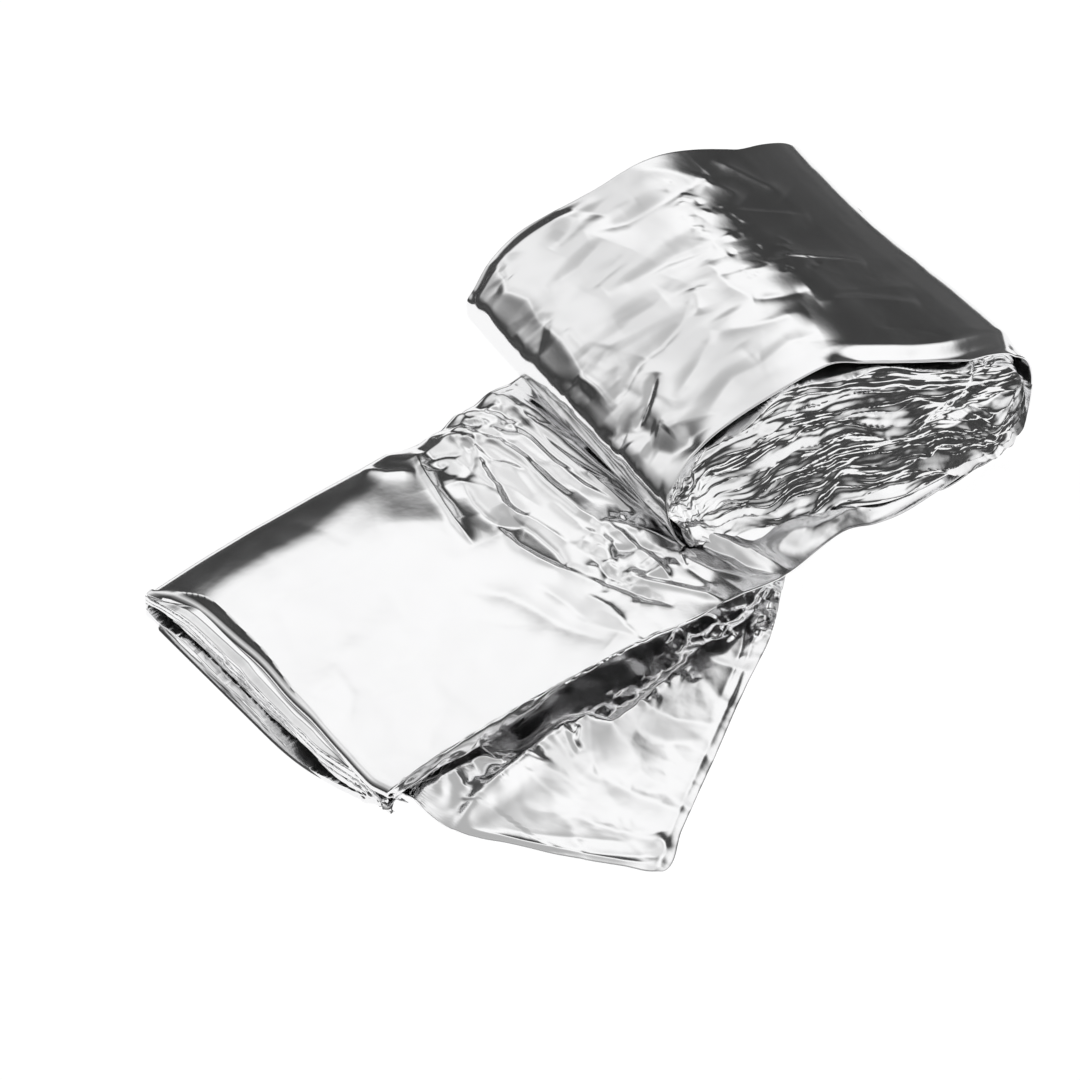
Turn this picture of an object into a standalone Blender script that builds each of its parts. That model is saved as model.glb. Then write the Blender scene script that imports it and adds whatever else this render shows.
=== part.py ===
"""Emergency foil blanket, partly unwound: a long ribbon of folded film in one solid.

The blanket has been folded lengthwise into a ribbon about 0.1 m wide. From its outer end the
ribbon lies on the surface as a fanned-out bottom sheet, turns back and forth at the left end,
runs right as a flat strip, and winds up into a flattened roll that rests on the strip.

The ribbon starts as a flat grid: one column of points for each station along its length, one
row for each place across its width. Every row is then folded along its own section in the
x-z plane, and Solidify gives the folded sheet the thickness of the stacked film.

x runs along the strip towards the roll, y to the back, z up. The open side of the folds
faces -y, the front. The origin is the middle of the footprint, on the surface.
"""

import math
from collections import namedtuple

import bmesh
import bpy

MM = 0.001

# ---- driving sizes, in metres
RIBBON_THICKNESS = 2.2 * MM  # sixteen loose layers of film
LAYER_PITCH_LEAST = 2.6 * MM  # between the middles of two layers that lie on each other
REST_HEIGHT = RIBBON_THICKNESS / 2  # middle of a layer that lies on the surface

# Places across the width, from the front edge to the back edge.
ACROSS = (0.0, 0.05, 0.14, 0.28, 0.45, 0.62, 0.78, 0.91, 1.0)

# ---- the bottom sheet: its two edges, seen from above, a row for each cross-section
Outline = namedtuple("Outline", "x y_front y_back")
BOTTOM_SHEET = tuple(
    Outline(x * MM, front * MM, back * MM)
    for x, front, back in (
        (146, 18, 92),
        (134, 8, 94),
        (120.4, -3.2, 95),
        (104.3, -12.5, 95),
        (88, -23, 96),
        (75, -31.5, 97),
        (62, -40, 98),
        (50.7, -46.4, 98),
        (43, -35.6, 98),
        (35.3, -25.3, 98),
        (27, -15.4, 98),
        (18.7, -5.3, 98),
        (12, 5.0, 98),
        (6, 10.0, 98),
        (3.5, 12.5, 98),
    )
)
FLAP_LIFT = 1.6 * MM  # how far the flap's corner curls up from the surface
FLAP_RIM = 0.14  # share of the width that curls
FLAP_CORNER_X = 50.7 * MM
FLAP_CURL_REACH = 22 * MM  # from the corner, along x
FLAP_CREASED_SHARE = 0.42  # of the width, beyond which the sheet lies flat

# ---- the layers of the left end, above the bottom sheet
LEFT_END_X = 3.5 * MM  # where the layers turn back
SHORT_LAYERS_X = 62 * MM  # how far the two short layers reach to the right
SHORT_LAYER_HEIGHTS = (4.8 * MM, 8.5 * MM)
SHORT_LAYER_EDGES = (
    Outline(LEFT_END_X, 7.2 * MM, 96.9 * MM),
    Outline(SHORT_LAYERS_X, 10.7 * MM, 95.1 * MM),
)
END_FOLD_BULGE = 1.0  # of a fold's half height, how far it stands out
CORNER_CUT = 9 * MM  # how far the lowest layer's front corner draws back to the right
CORNER_SHARE = 0.45  # of the width that the drawn-back corner takes
CORNER_LENGTH = 14 * MM  # along x
CORNER_HEIGHT = 6 * MM  # only what lies lower than this is drawn back

# ---- the strip: middle of the ribbon, a row for each cross-section from left to right
Section = namedtuple("Section", "x z_front z_middle z_back y_front y_back")
STRIP = tuple(
    Section(*(value * MM for value in row))
    for row in (
        (4, 11.9, 12.2, 11.9, 4.0, 98.0),
        (24, 12.6, 12.0, 12.0, 4.6, 99.0),
        (48, 13.8, 12.2, 12.0, 3.6, 100.2),
        (70, 15.2, 12.6, 12.1, 2.4, 101.2),
        (86, 15.9, 13.4, 12.6, 1.4, 101.8),
        (100, 15.6, 14.4, 13.8, 1.6, 100.6),
        (114, 13.4, 14.2, 13.6, 3.2, 100.6),
        (130, 8.8, 10.6, 10.6, 5.2, 100.0),
        (146, 5.6, 6.6, 6.6, 8.6, 99.4),
        (158, 3.2, 3.4, 3.4, 10.6, 99.0),
        (168, 1.5, 1.5, 1.5, 11.6, 98.8),
        (176, 1.1, 1.1, 1.1, 12.0, 98.8),
        (188, 1.1, 1.1, 1.1, 12.0, 98.6),
        (203, 1.1, 1.1, 1.1, 12.0, 98.4),
    )
)

# Stretches of the strip, each with its stations evenly spaced.
Stretch = namedtuple("Stretch", "x_from x_to steps")
STRIP_STRETCHES = (
    Stretch(4 * MM, 74 * MM, 6),
    Stretch(74 * MM, 116 * MM, 14),
    Stretch(116 * MM, 203 * MM, 11),
)

# ---- folds that cross the ribbon from edge to edge, as soft ridges
Ridge = namedtuple("Ridge", "x_front x_back half_width height")
FLAP_RIDGES = (
    Ridge(37 * MM, 24 * MM, 8 * MM, 0.8 * MM),
    Ridge(64 * MM, 66 * MM, 9 * MM, 1.1 * MM),
    Ridge(92 * MM, 104 * MM, 9 * MM, 0.7 * MM),
)
STRIP_RIDGES = (
    Ridge(79 * MM, 85 * MM, 5 * MM, 1.4 * MM),
    Ridge(94 * MM, 97 * MM, 6 * MM, 1.8 * MM),
    Ridge(108 * MM, 109 * MM, 5 * MM, 1.2 * MM),
)
ROLL_RIDGES = (
    Ridge(150 * MM, 131 * MM, 9 * MM, 0.9 * MM),
    Ridge(173 * MM, 150 * MM, 10 * MM, 0.8 * MM),
    Ridge(186 * MM, 178 * MM, 9 * MM, 0.6 * MM),
)

# ---- the roll's outer turn over the top, a row for each cross-section from left to right
ROLL_TOP = tuple(
    Section(*(value * MM for value in row))
    for row in (
        (119, 28.8, 29.4, 30.2, 32.0, 121.2),
        (127, 34.2, 34.6, 34.4, 34.0, 123.4),
        (138, 39.4, 39.6, 38.6, 32.6, 124.0),
        (150, 43.2, 43.0, 41.8, 30.4, 122.0),
        (162, 45.0, 45.0, 43.8, 29.2, 119.4),
        (172, 44.9, 45.6, 44.8, 27.6, 116.8),
        (182, 42.6, 44.0, 44.6, 24.0, 114.0),
        (192, 39.4, 40.8, 42.6, 20.4, 111.4),
        (203, 36.1, 37.0, 38.8, 16.8, 107.0),
    )
)
# ---- the roll's lowest own turn, where it rests on the strip
ROLL_BASE = tuple(
    Section(*(value * MM for value in row))
    for row in (
        (119, 16.4, 17.2, 20.6, 24.0, 119.6),
        (127, 14.2, 16.0, 18.2, 21.0, 118.4),
        (138, 10.4, 11.8, 13.0, 19.4, 115.6),
        (150, 8.2, 8.8, 9.2, 18.4, 111.8),
        (162, 5.6, 5.7, 5.9, 15.6, 107.6),
        (172, 4.9, 4.9, 5.0, 11.4, 104.0),
        (182, 4.6, 4.7, 4.8, 10.2, 101.6),
        (192, 4.4, 4.5, 4.6, 10.4, 100.6),
        (203, 4.3, 4.4, 4.5, 11.0, 100.0),
    )
)

# ---- where each turn of the roll folds back, a row for each turn, the outer one first
Turn = namedtuple("Turn", "left_inset right_inset front_shift back_shift")
TURN_TABLE = tuple(
    Turn(*(value * MM for value in row))
    for row in (
        (0.0, 0.0, 0.0, 0.0),
        (3.6, 0.3, 1.6, -1.0),
        (9.2, 0.0, -1.8, 1.6),
        (16.0, 0.5, 2.2, -1.8),
        (24.0, 0.1, -1.2, 1.2),
        (32.0, 0.4, 1.4, -1.4),
    )
)
TURNS = len(TURN_TABLE)
TOP_LEVEL = 2 * TURNS - 2  # the roll's own layers are numbered from 0, the lowest, to this
ROLL_LEFT_BULGE = 0.5  # of a left fold's half height, how far it stands out
RIGHT_FOLD_BULGE = 0.98
ROLL_LEFT_SKEW = 5.5 * MM  # how much further right the left folds lie at the back edge
ROLL_SKEW_END_X = 152 * MM  # the skew fades out here
ROLL_SKEW_PIVOT = 0.35  # share of the width where the left folds keep their place
INNER_END_X = 158 * MM  # where the ribbon's inner end lies inside the roll

# ---- unevenness that all the roll's layers share
WAVE_HEIGHT = 0.9 * MM
WAVE_LENGTH = 37 * MM
BACK_WAVE_PHASE = 2.1  # radians, by which the waves at the back run ahead of the front's
LOWEST_WAVE_SHARE = 0.25  # the lowest layer's wave, as a share of the top one's
EDGE_WAVE_SHARE = 0.22  # of the width, how far in from an edge the layers' waves fade
ROUND_OFF_START = 0.12  # share of a half circle where a ridge starts at the ribbon's edge

# ---- steps along each stretch
STATION_SPACING = 7 * MM  # along the roll's own layers, at places that they all share
SHORT_LAYER_STEPS = 5
END_FOLD_STEPS = 5
LEFT_FOLD_STEPS = 6
RIGHT_FOLD_STEPS = 9

FILM_COLOUR = (0.80, 0.80, 0.82, 1.0)
FILM_ROUGHNESS = 0.18

# A station: its place along the ribbon's section, and the two edges of the ribbon there.
Station = namedtuple("Station", "x z y_front y_back")


def remove_all_objects():
    for obj in list(bpy.data.objects):
        bpy.data.objects.remove(obj)


def blended(low, high, share):
    return low + (high - low) * share


def read_row(rows, column, x):
    """A column of a table at x, on a smooth curve through its rows, which rise in x."""
    places = [row.x for row in rows]
    values = [getattr(row, column) for row in rows]
    if places[0] > places[-1]:
        places.reverse()
        values.reverse()
    x = min(max(x, places[0]), places[-1])
    last = len(places) - 2
    i = min(sum(1 for place in places[1:] if place <= x), last)
    slopes = [
        (values[b] - values[a]) / (places[b] - places[a])
        for a, b in (
            (max(k - 1, 0), min(k + 1, last + 1)) for k in (i, i + 1)
        )
    ]
    step = places[i + 1] - places[i]
    s = (x - places[i]) / step
    return (
        values[i] * (2 * s**3 - 3 * s**2 + 1)
        + slopes[0] * step * (s**3 - 2 * s**2 + s)
        + values[i + 1] * (3 * s**2 - 2 * s**3)
        + slopes[1] * step * (s**3 - s**2)
    )


def section_height(rows, x, t):
    """Height of the ribbon's middle at x, a share t of the way from its front to its back edge."""
    front, middle, back = (
        read_row(rows, column, x) for column in ("z_front", "z_middle", "z_back")
    )
    if t < 0.5:
        return blended(front, middle, math.sin(math.pi * t))
    return blended(back, middle, math.sin(math.pi * (1 - t)))


def ridge_height(ridges, x, t):
    """Height that the folds across the ribbon add at x."""
    total = 0.0
    for ridge in ridges:
        away = abs(x - blended(ridge.x_front, ridge.x_back, t)) / ridge.half_width
        total += ridge.height * max(0.0, 1 - away) ** 1.5
    return total


def rounded_off(t):
    """Share of a fold's height that is left towards the ribbon's two edges."""
    return math.sin(math.pi * blended(ROUND_OFF_START, 1 - ROUND_OFF_START, t))


def shared_wave(x, t):
    """Unevenness near the roll's two open sides, the same for every layer that lies there."""
    edge = max(0.0, 1 - min(t, 1 - t) / EDGE_WAVE_SHARE)
    phase = 2 * math.pi * x / WAVE_LENGTH + (0.0 if t < 0.5 else BACK_WAVE_PHASE)
    return WAVE_HEIGHT * edge**2 * math.sin(phase)


def steepness(rows, x, t):
    """Length along a table's curve for each step along x, so that layers keep their distance."""
    reach = STATION_SPACING / 2
    rise = section_height(rows, x + reach, t) - section_height(rows, x - reach, t)
    return math.hypot(1.0, rise / (2 * reach))


def fold(before, after, bulge, side, steps):
    """Stations of a fold from one layer's end to the next layer's, bulging to a side (-1, 1)."""
    half = abs(after.z - before.z) / 2
    stations = []
    for k in range(1, steps + 1):
        angle = math.pi * k / (steps + 1)
        share = (1 - math.cos(angle)) / 2
        stations.append(
            Station(
                blended(before.x, after.x, share) + side * bulge * half * math.sin(angle),
                blended(before.z, after.z, share),
                blended(before.y_front, after.y_front, share),
                blended(before.y_back, after.y_back, share),
            )
        )
    return stations


def bottom_sheet(t):
    """The sheet on the surface, from its hidden end to the left end."""
    stations = []
    for row in BOTTOM_SHEET:
        corner = math.exp(-(((row.x - FLAP_CORNER_X) / FLAP_CURL_REACH) ** 2))
        curl = FLAP_LIFT * corner * max(0.0, 1 - t / FLAP_RIM) ** 2
        crease = ridge_height(FLAP_RIDGES, row.x, t) * max(0.0, 1 - t / FLAP_CREASED_SHARE)
        z = REST_HEIGHT + curl + crease
        stations.append(Station(row.x, z, row.y_front, row.y_back))
    return stations


def short_layer(height):
    """One of the two short layers between the bottom sheet and the strip, left to right."""
    left, right = SHORT_LAYER_EDGES
    stations = []
    for k in range(SHORT_LAYER_STEPS):
        x, y_front, y_back = (
            blended(a, b, k / (SHORT_LAYER_STEPS - 1)) for a, b in zip(left, right)
        )
        stations.append(Station(x, height, y_front, y_back))
    return stations


def drawn_back(station, t):
    """The station moved right where the left end's lower layers have their front corner cut."""
    share = (
        max(0.0, 1 - t / CORNER_SHARE) ** 1.5
        * max(0.0, 1 - max(0.0, station.x - LEFT_END_X) / CORNER_LENGTH)
    )
    if station.z > CORNER_HEIGHT:
        share = 0.0
    return station._replace(x=station.x + CORNER_CUT * share)


def strip(t):
    """The flat strip, from the left end to where it turns up at the roll's right end."""
    stations = []
    for x_from, x_to, steps in STRIP_STRETCHES:
        for k in range(1 if stations else 0, steps + 1):
            x = blended(x_from, x_to, k / steps)
            z = section_height(STRIP, x, t) + ridge_height(STRIP_RIDGES, x, t) * rounded_off(t)
            z = max(z, REST_HEIGHT)
            y_front, y_back = (
                read_row(STRIP, column, x) for column in ("y_front", "y_back")
            )
            stations.append(Station(x, z, y_front, y_back))
    return stations


def layer_height(level, x, t):
    """Height of one of the roll's own layers, counted from the nearer of its top and base."""
    base = section_height(ROLL_BASE, x, t)
    top = section_height(ROLL_TOP, x, t)
    pitch = (top - base) / TOP_LEVEL
    if level < TOP_LEVEL / 2:
        z = base + level * max(pitch, LAYER_PITCH_LEAST * steepness(ROLL_BASE, x, t))
    else:
        least = LAYER_PITCH_LEAST * steepness(ROLL_TOP, x, t)
        z = top - (TOP_LEVEL - level) * max(pitch, least)
    if level == TOP_LEVEL:
        z += ridge_height(ROLL_RIDGES, x, t) * rounded_off(t)
    return z + shared_wave(x, t) * blended(LOWEST_WAVE_SHARE, 1, level / TOP_LEVEL)


def layer_edges(level, shift, x):
    """Front and back edge of one of the roll's own layers, which lean back as they rise."""
    share = level / TOP_LEVEL
    inside = math.sin(math.pi * share)
    front = blended(
        read_row(ROLL_BASE, "y_front", x), read_row(ROLL_TOP, "y_front", x), share
    )
    back = blended(
        read_row(ROLL_BASE, "y_back", x), read_row(ROLL_TOP, "y_back", x), share
    )
    return front + shift.front_shift * inside, back + shift.back_shift * inside


def shared_places(x_from, x_to):
    """Both ends and the shared places between them, so that layers run side by side."""
    low, high = min(x_from, x_to), max(x_from, x_to)
    clear = STATION_SPACING / 3
    first = math.ceil((low + clear) / STATION_SPACING)
    last = math.floor((high - clear) / STATION_SPACING)
    places = [low] + [k * STATION_SPACING for k in range(first, last + 1)] + [high]
    return places if x_from < x_to else places[::-1]


def roll_layer(level, turn, x_from, x_to, t):
    """One of the roll's own layers, running from x_from to x_to."""
    stations = []
    for x in shared_places(x_from, x_to):
        y_front, y_back = layer_edges(level, turn, x)
        stations.append(Station(x, layer_height(level, x, t), y_front, y_back))
    return stations


def skewed(station, t):
    """The station moved along x by the slant of the roll's left folds."""
    share = (ROLL_SKEW_END_X - station.x) / (ROLL_SKEW_END_X - ROLL_TOP[0].x)
    shift = ROLL_LEFT_SKEW * (t - ROLL_SKEW_PIVOT) * max(0.0, share)
    return station._replace(x=station.x + shift)


def roll(t):
    """The turns of the roll, from the outer one inwards, after the strip has run under it."""
    left, right = ROLL_TOP[0].x, ROLL_TOP[-1].x
    stations = []
    for number, turn in enumerate(TURN_TABLE):
        right_x, left_x = right - turn.right_inset, left + turn.left_inset
        if number:
            last = TURN_TABLE[number - 1]
            below = roll_layer(number - 1, turn, left + last.left_inset, right_x, t)
            stations += fold(
                stations[-1], below[0], ROLL_LEFT_BULGE, -1, LEFT_FOLD_STEPS
            )
            stations += below
        inner_end = number == TURNS - 1
        over_end = INNER_END_X if inner_end else left_x
        over = roll_layer(TOP_LEVEL - number, turn, right_x, over_end, t)
        before = stations[-1] if stations else strip(t)[-1]
        stations += fold(before, over[0], RIGHT_FOLD_BULGE, 1, RIGHT_FOLD_STEPS)
        stations += over
    return [skewed(station, t) for station in stations]


def ribbon_section(t):
    """Every station of the ribbon at one place across its width, from its outer end inwards."""
    stations = bottom_sheet(t)
    low, high = SHORT_LAYER_HEIGHTS
    layers = (short_layer(low), short_layer(high)[::-1], strip(t))
    for layer, side in zip(layers, (-1, 1, -1)):
        stations += fold(stations[-1], layer[0], END_FOLD_BULGE, side, END_FOLD_STEPS)
        stations += layer
    return [drawn_back(station, t) for station in stations] + roll(t)


def folded_ribbon():
    """The flat grid of the ribbon with each of its rows folded along its own section."""
    sections = [ribbon_section(t) for t in ACROSS]
    columns = len(sections[0])
    cut = bmesh.new()
    bmesh.ops.create_grid(
        cut, x_segments=columns - 1, y_segments=len(ACROSS) - 1, size=0.5
    )
    for vert in cut.verts:
        column = round((vert.co.x + 0.5) * (columns - 1))
        row = round((vert.co.y + 0.5) * (len(ACROSS) - 1))
        station = sections[row][column]
        y = blended(station.y_front, station.y_back, ACROSS[row])
        vert.co = (station.x, y, station.z)
    mesh = bpy.data.meshes.new("foil_blanket")
    cut.to_mesh(mesh)
    cut.free()
    return mesh


def middle_of_footprint(mesh):
    xs = [vert.co.x for vert in mesh.vertices]
    ys = [vert.co.y for vert in mesh.vertices]
    return (min(xs) + max(xs)) / 2, (min(ys) + max(ys)) / 2


def film_material():
    material = bpy.data.materials.new("silver_film")
    material.use_nodes = True
    shader = material.node_tree.nodes["Principled BSDF"]
    shader.inputs["Base Color"].default_value = FILM_COLOUR
    shader.inputs["Metallic"].default_value = 1.0
    shader.inputs["Roughness"].default_value = FILM_ROUGHNESS
    return material


def main():
    remove_all_objects()
    mesh = folded_ribbon()
    middle_x, middle_y = middle_of_footprint(mesh)
    for vert in mesh.vertices:
        vert.co.x -= middle_x
        vert.co.y -= middle_y
    blanket = bpy.data.objects.new("foil_blanket", mesh)
    bpy.context.scene.collection.objects.link(blanket)
    thickness = blanket.modifiers.new("film_stack", "SOLIDIFY")
    thickness.thickness = RIBBON_THICKNESS
    thickness.offset = 0.0
    thickness.use_rim = True
    mesh.materials.append(film_material())


main()
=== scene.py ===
"""The foil blanket's looks: thin creased film laid over the folds of the plain solid ribbon.

Most pieces are cut as a flat grid, folded along a section in the x-z plane and then creased. The
roll's open side and the left end are faces of many folded edges. Lengths are in millimetres, in a
drawing whose x runs along the strip towards the roll, y to the back and z up, and film_object
moves them into the frame, in metres.
"""

import math
from collections import namedtuple

import bmesh
import bpy
import numpy as np
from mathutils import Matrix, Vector


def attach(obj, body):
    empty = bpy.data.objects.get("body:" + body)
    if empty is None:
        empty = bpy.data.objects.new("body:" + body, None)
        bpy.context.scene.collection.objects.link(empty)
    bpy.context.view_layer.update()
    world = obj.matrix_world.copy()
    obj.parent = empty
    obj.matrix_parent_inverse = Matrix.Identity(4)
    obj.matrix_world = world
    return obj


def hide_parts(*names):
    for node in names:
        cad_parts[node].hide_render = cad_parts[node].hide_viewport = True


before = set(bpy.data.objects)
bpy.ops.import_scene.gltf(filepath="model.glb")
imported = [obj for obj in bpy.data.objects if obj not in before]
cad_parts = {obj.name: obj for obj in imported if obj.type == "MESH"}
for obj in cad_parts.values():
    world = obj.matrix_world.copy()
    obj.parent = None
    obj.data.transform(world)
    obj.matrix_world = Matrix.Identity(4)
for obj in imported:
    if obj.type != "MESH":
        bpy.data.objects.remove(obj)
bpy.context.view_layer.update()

MM = 0.001
DRAWING_ZERO = Vector((-0.111369, -0.038807, 0.0))  # where the drawing's zero lies, in metres

# ---------------------------------------------------------------- the folded ribbon's sections
RIBBON_HALF = 1.1  # half the thickness of the ribbon

# The bottom sheet's front and back edge at places along x.
Outline = namedtuple("Outline", "x y_front y_back")
BOTTOM_SHEET = tuple(
    Outline(*row)
    for row in (
        (146, 18, 92),
        (134, 8, 94),
        (120.4, -3.2, 95),
        (104.3, -12.5, 95),
        (88, -22.8, 96),
        (75, -30.9, 97),
        (62, -38.9, 98),
        (50.4, -46.5, 98),
        (43, -38.4, 98),
        (35.3, -29.0, 98),
        (27, -17.9, 98),
        (18.7, -7.2, 98),
        (15, 1.6, 98),
        (12, 7.8, 98),
        (6, 10.4, 98.6),
        (1.2, 12.5, 99.4),
    )
)
LEFT_END_X = 1.2
# The left end's lower layers are cut off aslant at the front, and a little at the back.
CORNER_CUT = 10.4
CORNER_SHARE = 0.45
CORNER_LENGTH = 14
CORNER_HEIGHT = 6
BACK_CORNER_CUT = 3.5
BACK_CORNER_SHARE = 0.93
BACK_CORNER_LENGTH = 8

# A layer's height at its front, middle and back, and its front and back edge, at places along x.
Section = namedtuple("Section", "x z_front z_middle z_back y_front y_back")
STRIP = tuple(
    Section(*row)
    for row in (
        (4, 11.9, 12.2, 11.2, 6.6, 99.2),
        (24, 12.6, 12.3, 11.4, 7.6, 100.2),
        (48, 13.8, 12.6, 11.4, 7.2, 101.2),
        (70, 15.2, 12.9, 11.6, 5.9, 101.8),
        (86, 15.9, 13.5, 12.2, 4.4, 101.8),
        (100, 15.6, 14.4, 13.6, 2.6, 100.6),
        (114, 13.4, 14.2, 13.6, 3.6, 100.6),
        (130, 8.8, 10.6, 10.6, 5.2, 100.0),
        (146, 5.6, 6.6, 6.6, 8.6, 99.4),
        (158, 3.2, 3.4, 3.4, 10.6, 99.0),
        (168, 1.5, 1.5, 1.5, 9.8, 98.8),
        (176, 1.1, 1.1, 1.1, 8.9, 98.8),
        (188, 1.1, 1.1, 1.1, 9.4, 98.6),
        (203, 1.1, 1.1, 1.1, 10.4, 98.4),
    )
)
ROLL_TOP = tuple(
    Section(*row)
    for row in (
        (119, 28.8, 29.4, 30.2, 32.0, 121.2),
        (127, 34.2, 34.6, 34.4, 34.0, 123.4),
        (138, 39.4, 39.6, 38.6, 32.6, 124.0),
        (150, 43.2, 43.0, 41.8, 30.4, 122.0),
        (162, 45.0, 45.0, 43.8, 29.2, 119.4),
        (172, 44.9, 45.8, 46.2, 27.6, 118.0),
        (182, 42.6, 44.6, 46.8, 24.0, 116.4),
        (192, 39.4, 41.4, 45.2, 20.4, 113.6),
        (203, 36.1, 38.0, 42.2, 16.8, 109.6),
    )
)
ROLL_BASE = tuple(
    Section(*row)
    for row in (
        (119, 14.6, 17.0, 20.6, 24.0, 119.6),
        (127, 11.4, 15.2, 18.2, 21.0, 118.4),
        (138, 8.4, 11.4, 13.0, 19.4, 115.6),
        (150, 6.4, 8.4, 9.2, 18.4, 111.8),
        (162, 5.6, 5.7, 5.9, 15.6, 107.6),
        (172, 4.9, 4.9, 5.0, 11.4, 104.0),
        (182, 4.6, 4.7, 4.8, 10.2, 101.6),
        (192, 4.4, 4.5, 4.6, 10.4, 100.6),
        (203, 4.3, 4.4, 4.5, 11.0, 100.0),
    )
)
ROLL_LEFT_X = 119
ROLL_RIGHT_X = 203
ROLL_LEFT_BULGE = 0.5  # how far the roll's left fold bulges, as a share of half its height
RIGHT_FOLD_BULGE = 1.12
ROLL_LEFT_SKEW = 5.5  # how much further right the roll's left fold lies at its back
ROLL_SKEW_END_X = 152
ROLL_SKEW_PIVOT = 0.35

# A station: its place along the section and the ribbon's two edges, for every place across.
Station = namedtuple("Station", "x z y_front y_back")


def blended(low, high, share):
    return low + (high - low) * share


def near(value, middle, reach):
    """A soft bump of height one around a middle."""
    return np.exp(-(((value - middle) / reach) ** 2))


def ramp(value, low, high):
    """A smooth step from nought at low to one at high."""
    share = np.clip((value - low) / (high - low), 0, 1)
    return share * share * (3 - 2 * share)


def within(value, rise, fade):
    """Soft at both ends: it rises over one stretch of the value and fades over another."""
    return ramp(value, *rise) * (1 - ramp(value, *fade))


def between(knots, values, at):
    """Values at new places on a smooth curve through the knots, along the first axis."""
    knots = np.asarray(knots, float)
    values = np.asarray(values, float)
    flat = values.reshape(len(knots), -1)
    slopes = np.empty_like(flat)
    slopes[1:-1] = (flat[2:] - flat[:-2]) / (knots[2:] - knots[:-2])[:, None]
    slopes[0] = (flat[1] - flat[0]) / (knots[1] - knots[0])
    slopes[-1] = (flat[-1] - flat[-2]) / (knots[-1] - knots[-2])
    at = np.clip(np.asarray(at, float), knots[0], knots[-1])
    i = np.clip(np.searchsorted(knots, at, side="right") - 1, 0, len(knots) - 2)
    step = (knots[i + 1] - knots[i])[:, None]
    s = (at[:, None] - knots[i][:, None]) / step
    found = (
        flat[i] * (2 * s**3 - 3 * s**2 + 1)
        + slopes[i] * step * (s**3 - 2 * s**2 + s)
        + flat[i + 1] * (3 * s**2 - 2 * s**3)
        + slopes[i + 1] * step * (s**3 - s**2)
    )
    return found.reshape((len(at),) + values.shape[1:])


def read_table(rows, at):
    """A table of (place, number) rows, read on a smooth curve at every place of an array."""
    return between(*zip(*rows), at.ravel()).reshape(at.shape)


def read_row(rows, column, x):
    """A column of a table at x, on a smooth curve through its rows."""
    return float(
        between([row.x for row in rows], [getattr(row, column) for row in rows], [x])[0]
    )


def section_height(rows, x, t):
    """Height of the ribbon's middle at x, for every place t across."""
    front, middle, back = (
        read_row(rows, column, x) for column in ("z_front", "z_middle", "z_back")
    )
    edge = np.where(t < 0.5, front, back)
    return edge + (middle - edge) * np.sin(np.pi * t)


def slope_between(one, other):
    return (other.z - one.z) / (other.x - one.x)


def turned(before, after, bulge, side, steps, square=1.0):
    """Stations of a fold from one layer's end to the next layer's start, with no kink at either."""
    first, last = before[-1], after[0]
    slopes = slope_between(before[-2], first), slope_between(last, after[1])
    half = np.abs(last.z - first.z) / 2
    stations = []
    for k in range(1, steps + 1):
        angle = math.pi * k / (steps + 1)
        share = (1 - math.cos(angle)) / 2
        reach = side * bulge * half * math.sin(angle) ** square
        tilt = slopes[0] * (1 - share) ** 8 + slopes[1] * share**8
        middle = Station(*(blended(a, b, share) for a, b in zip(first, last)))
        stations.append(middle._replace(x=middle.x + reach, z=middle.z + tilt * reach))
    return stations


def level_station(x, z, y_front, y_back, t):
    """A station with the same numbers all the way across."""
    return Station(*(np.full_like(t, value) for value in (x, z, y_front, y_back)))


def bottom_layer(t):
    """The bottom sheet, from under the roll to the left end."""
    return [level_station(row.x, RIBBON_HALF, row.y_front, row.y_back, t) for row in BOTTOM_SHEET]


def drawn_back(station, t):
    """The station moved right where the left end's lower layers have their corner cut."""
    share = (
        np.maximum(0, 1 - t / CORNER_SHARE) ** 3
        * np.maximum(0, 1 - np.maximum(0, station.x - LEFT_END_X) / CORNER_LENGTH)
        * (station.z <= CORNER_HEIGHT)
    )
    at_back = BACK_CORNER_CUT * ramp(t, BACK_CORNER_SHARE, 1.0) * (station.x < BACK_CORNER_LENGTH)
    return station._replace(x=station.x + CORNER_CUT * share + at_back)


def strip_layer(x_from, x_to, t, spacing=4.0):
    """The strip from one place to another."""
    stations = []
    for x in np.linspace(x_from, x_to, 1 + round(abs(x_to - x_from) / spacing)):
        z = np.maximum(section_height(STRIP, x, t), RIBBON_HALF)
        y_front, y_back = (read_row(STRIP, column, x) for column in ("y_front", "y_back"))
        stations.append(Station(x + 0 * t, z, y_front + 0 * t, y_back + 0 * t))
    return stations


def roll_layer(rows, x_from, x_to, t, spacing=3.5):
    """The roll's top or base, running from x_from to x_to."""
    stations = []
    for x in np.linspace(x_from, x_to, 1 + round(abs(x_to - x_from) / spacing)):
        y_front, y_back = (read_row(rows, column, x) for column in ("y_front", "y_back"))
        height = section_height(rows, x, t)
        stations.append(Station(x + 0 * t, height, y_front + 0 * t, y_back + 0 * t))
    return stations


def skewed(station, t):
    """The station moved along x by the slant of the roll's left folds."""
    share = (ROLL_SKEW_END_X - station.x) / (ROLL_SKEW_END_X - ROLL_TOP[0].x)
    shift = ROLL_LEFT_SKEW * (t - ROLL_SKEW_PIVOT) * np.maximum(0, share)
    return station._replace(x=station.x + shift)


# ---------------------------------------------------------------- waves and creases
LATTICE = 64  # the noise comes round again after this many units
WANDER = 0.7  # how far the facets' edges wander, as a share of a facet
WANDER_SCALE = 0.9
FINE_FACET_SHARE = 0.4
FINE_FACET_SCALE = 2.3


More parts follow.
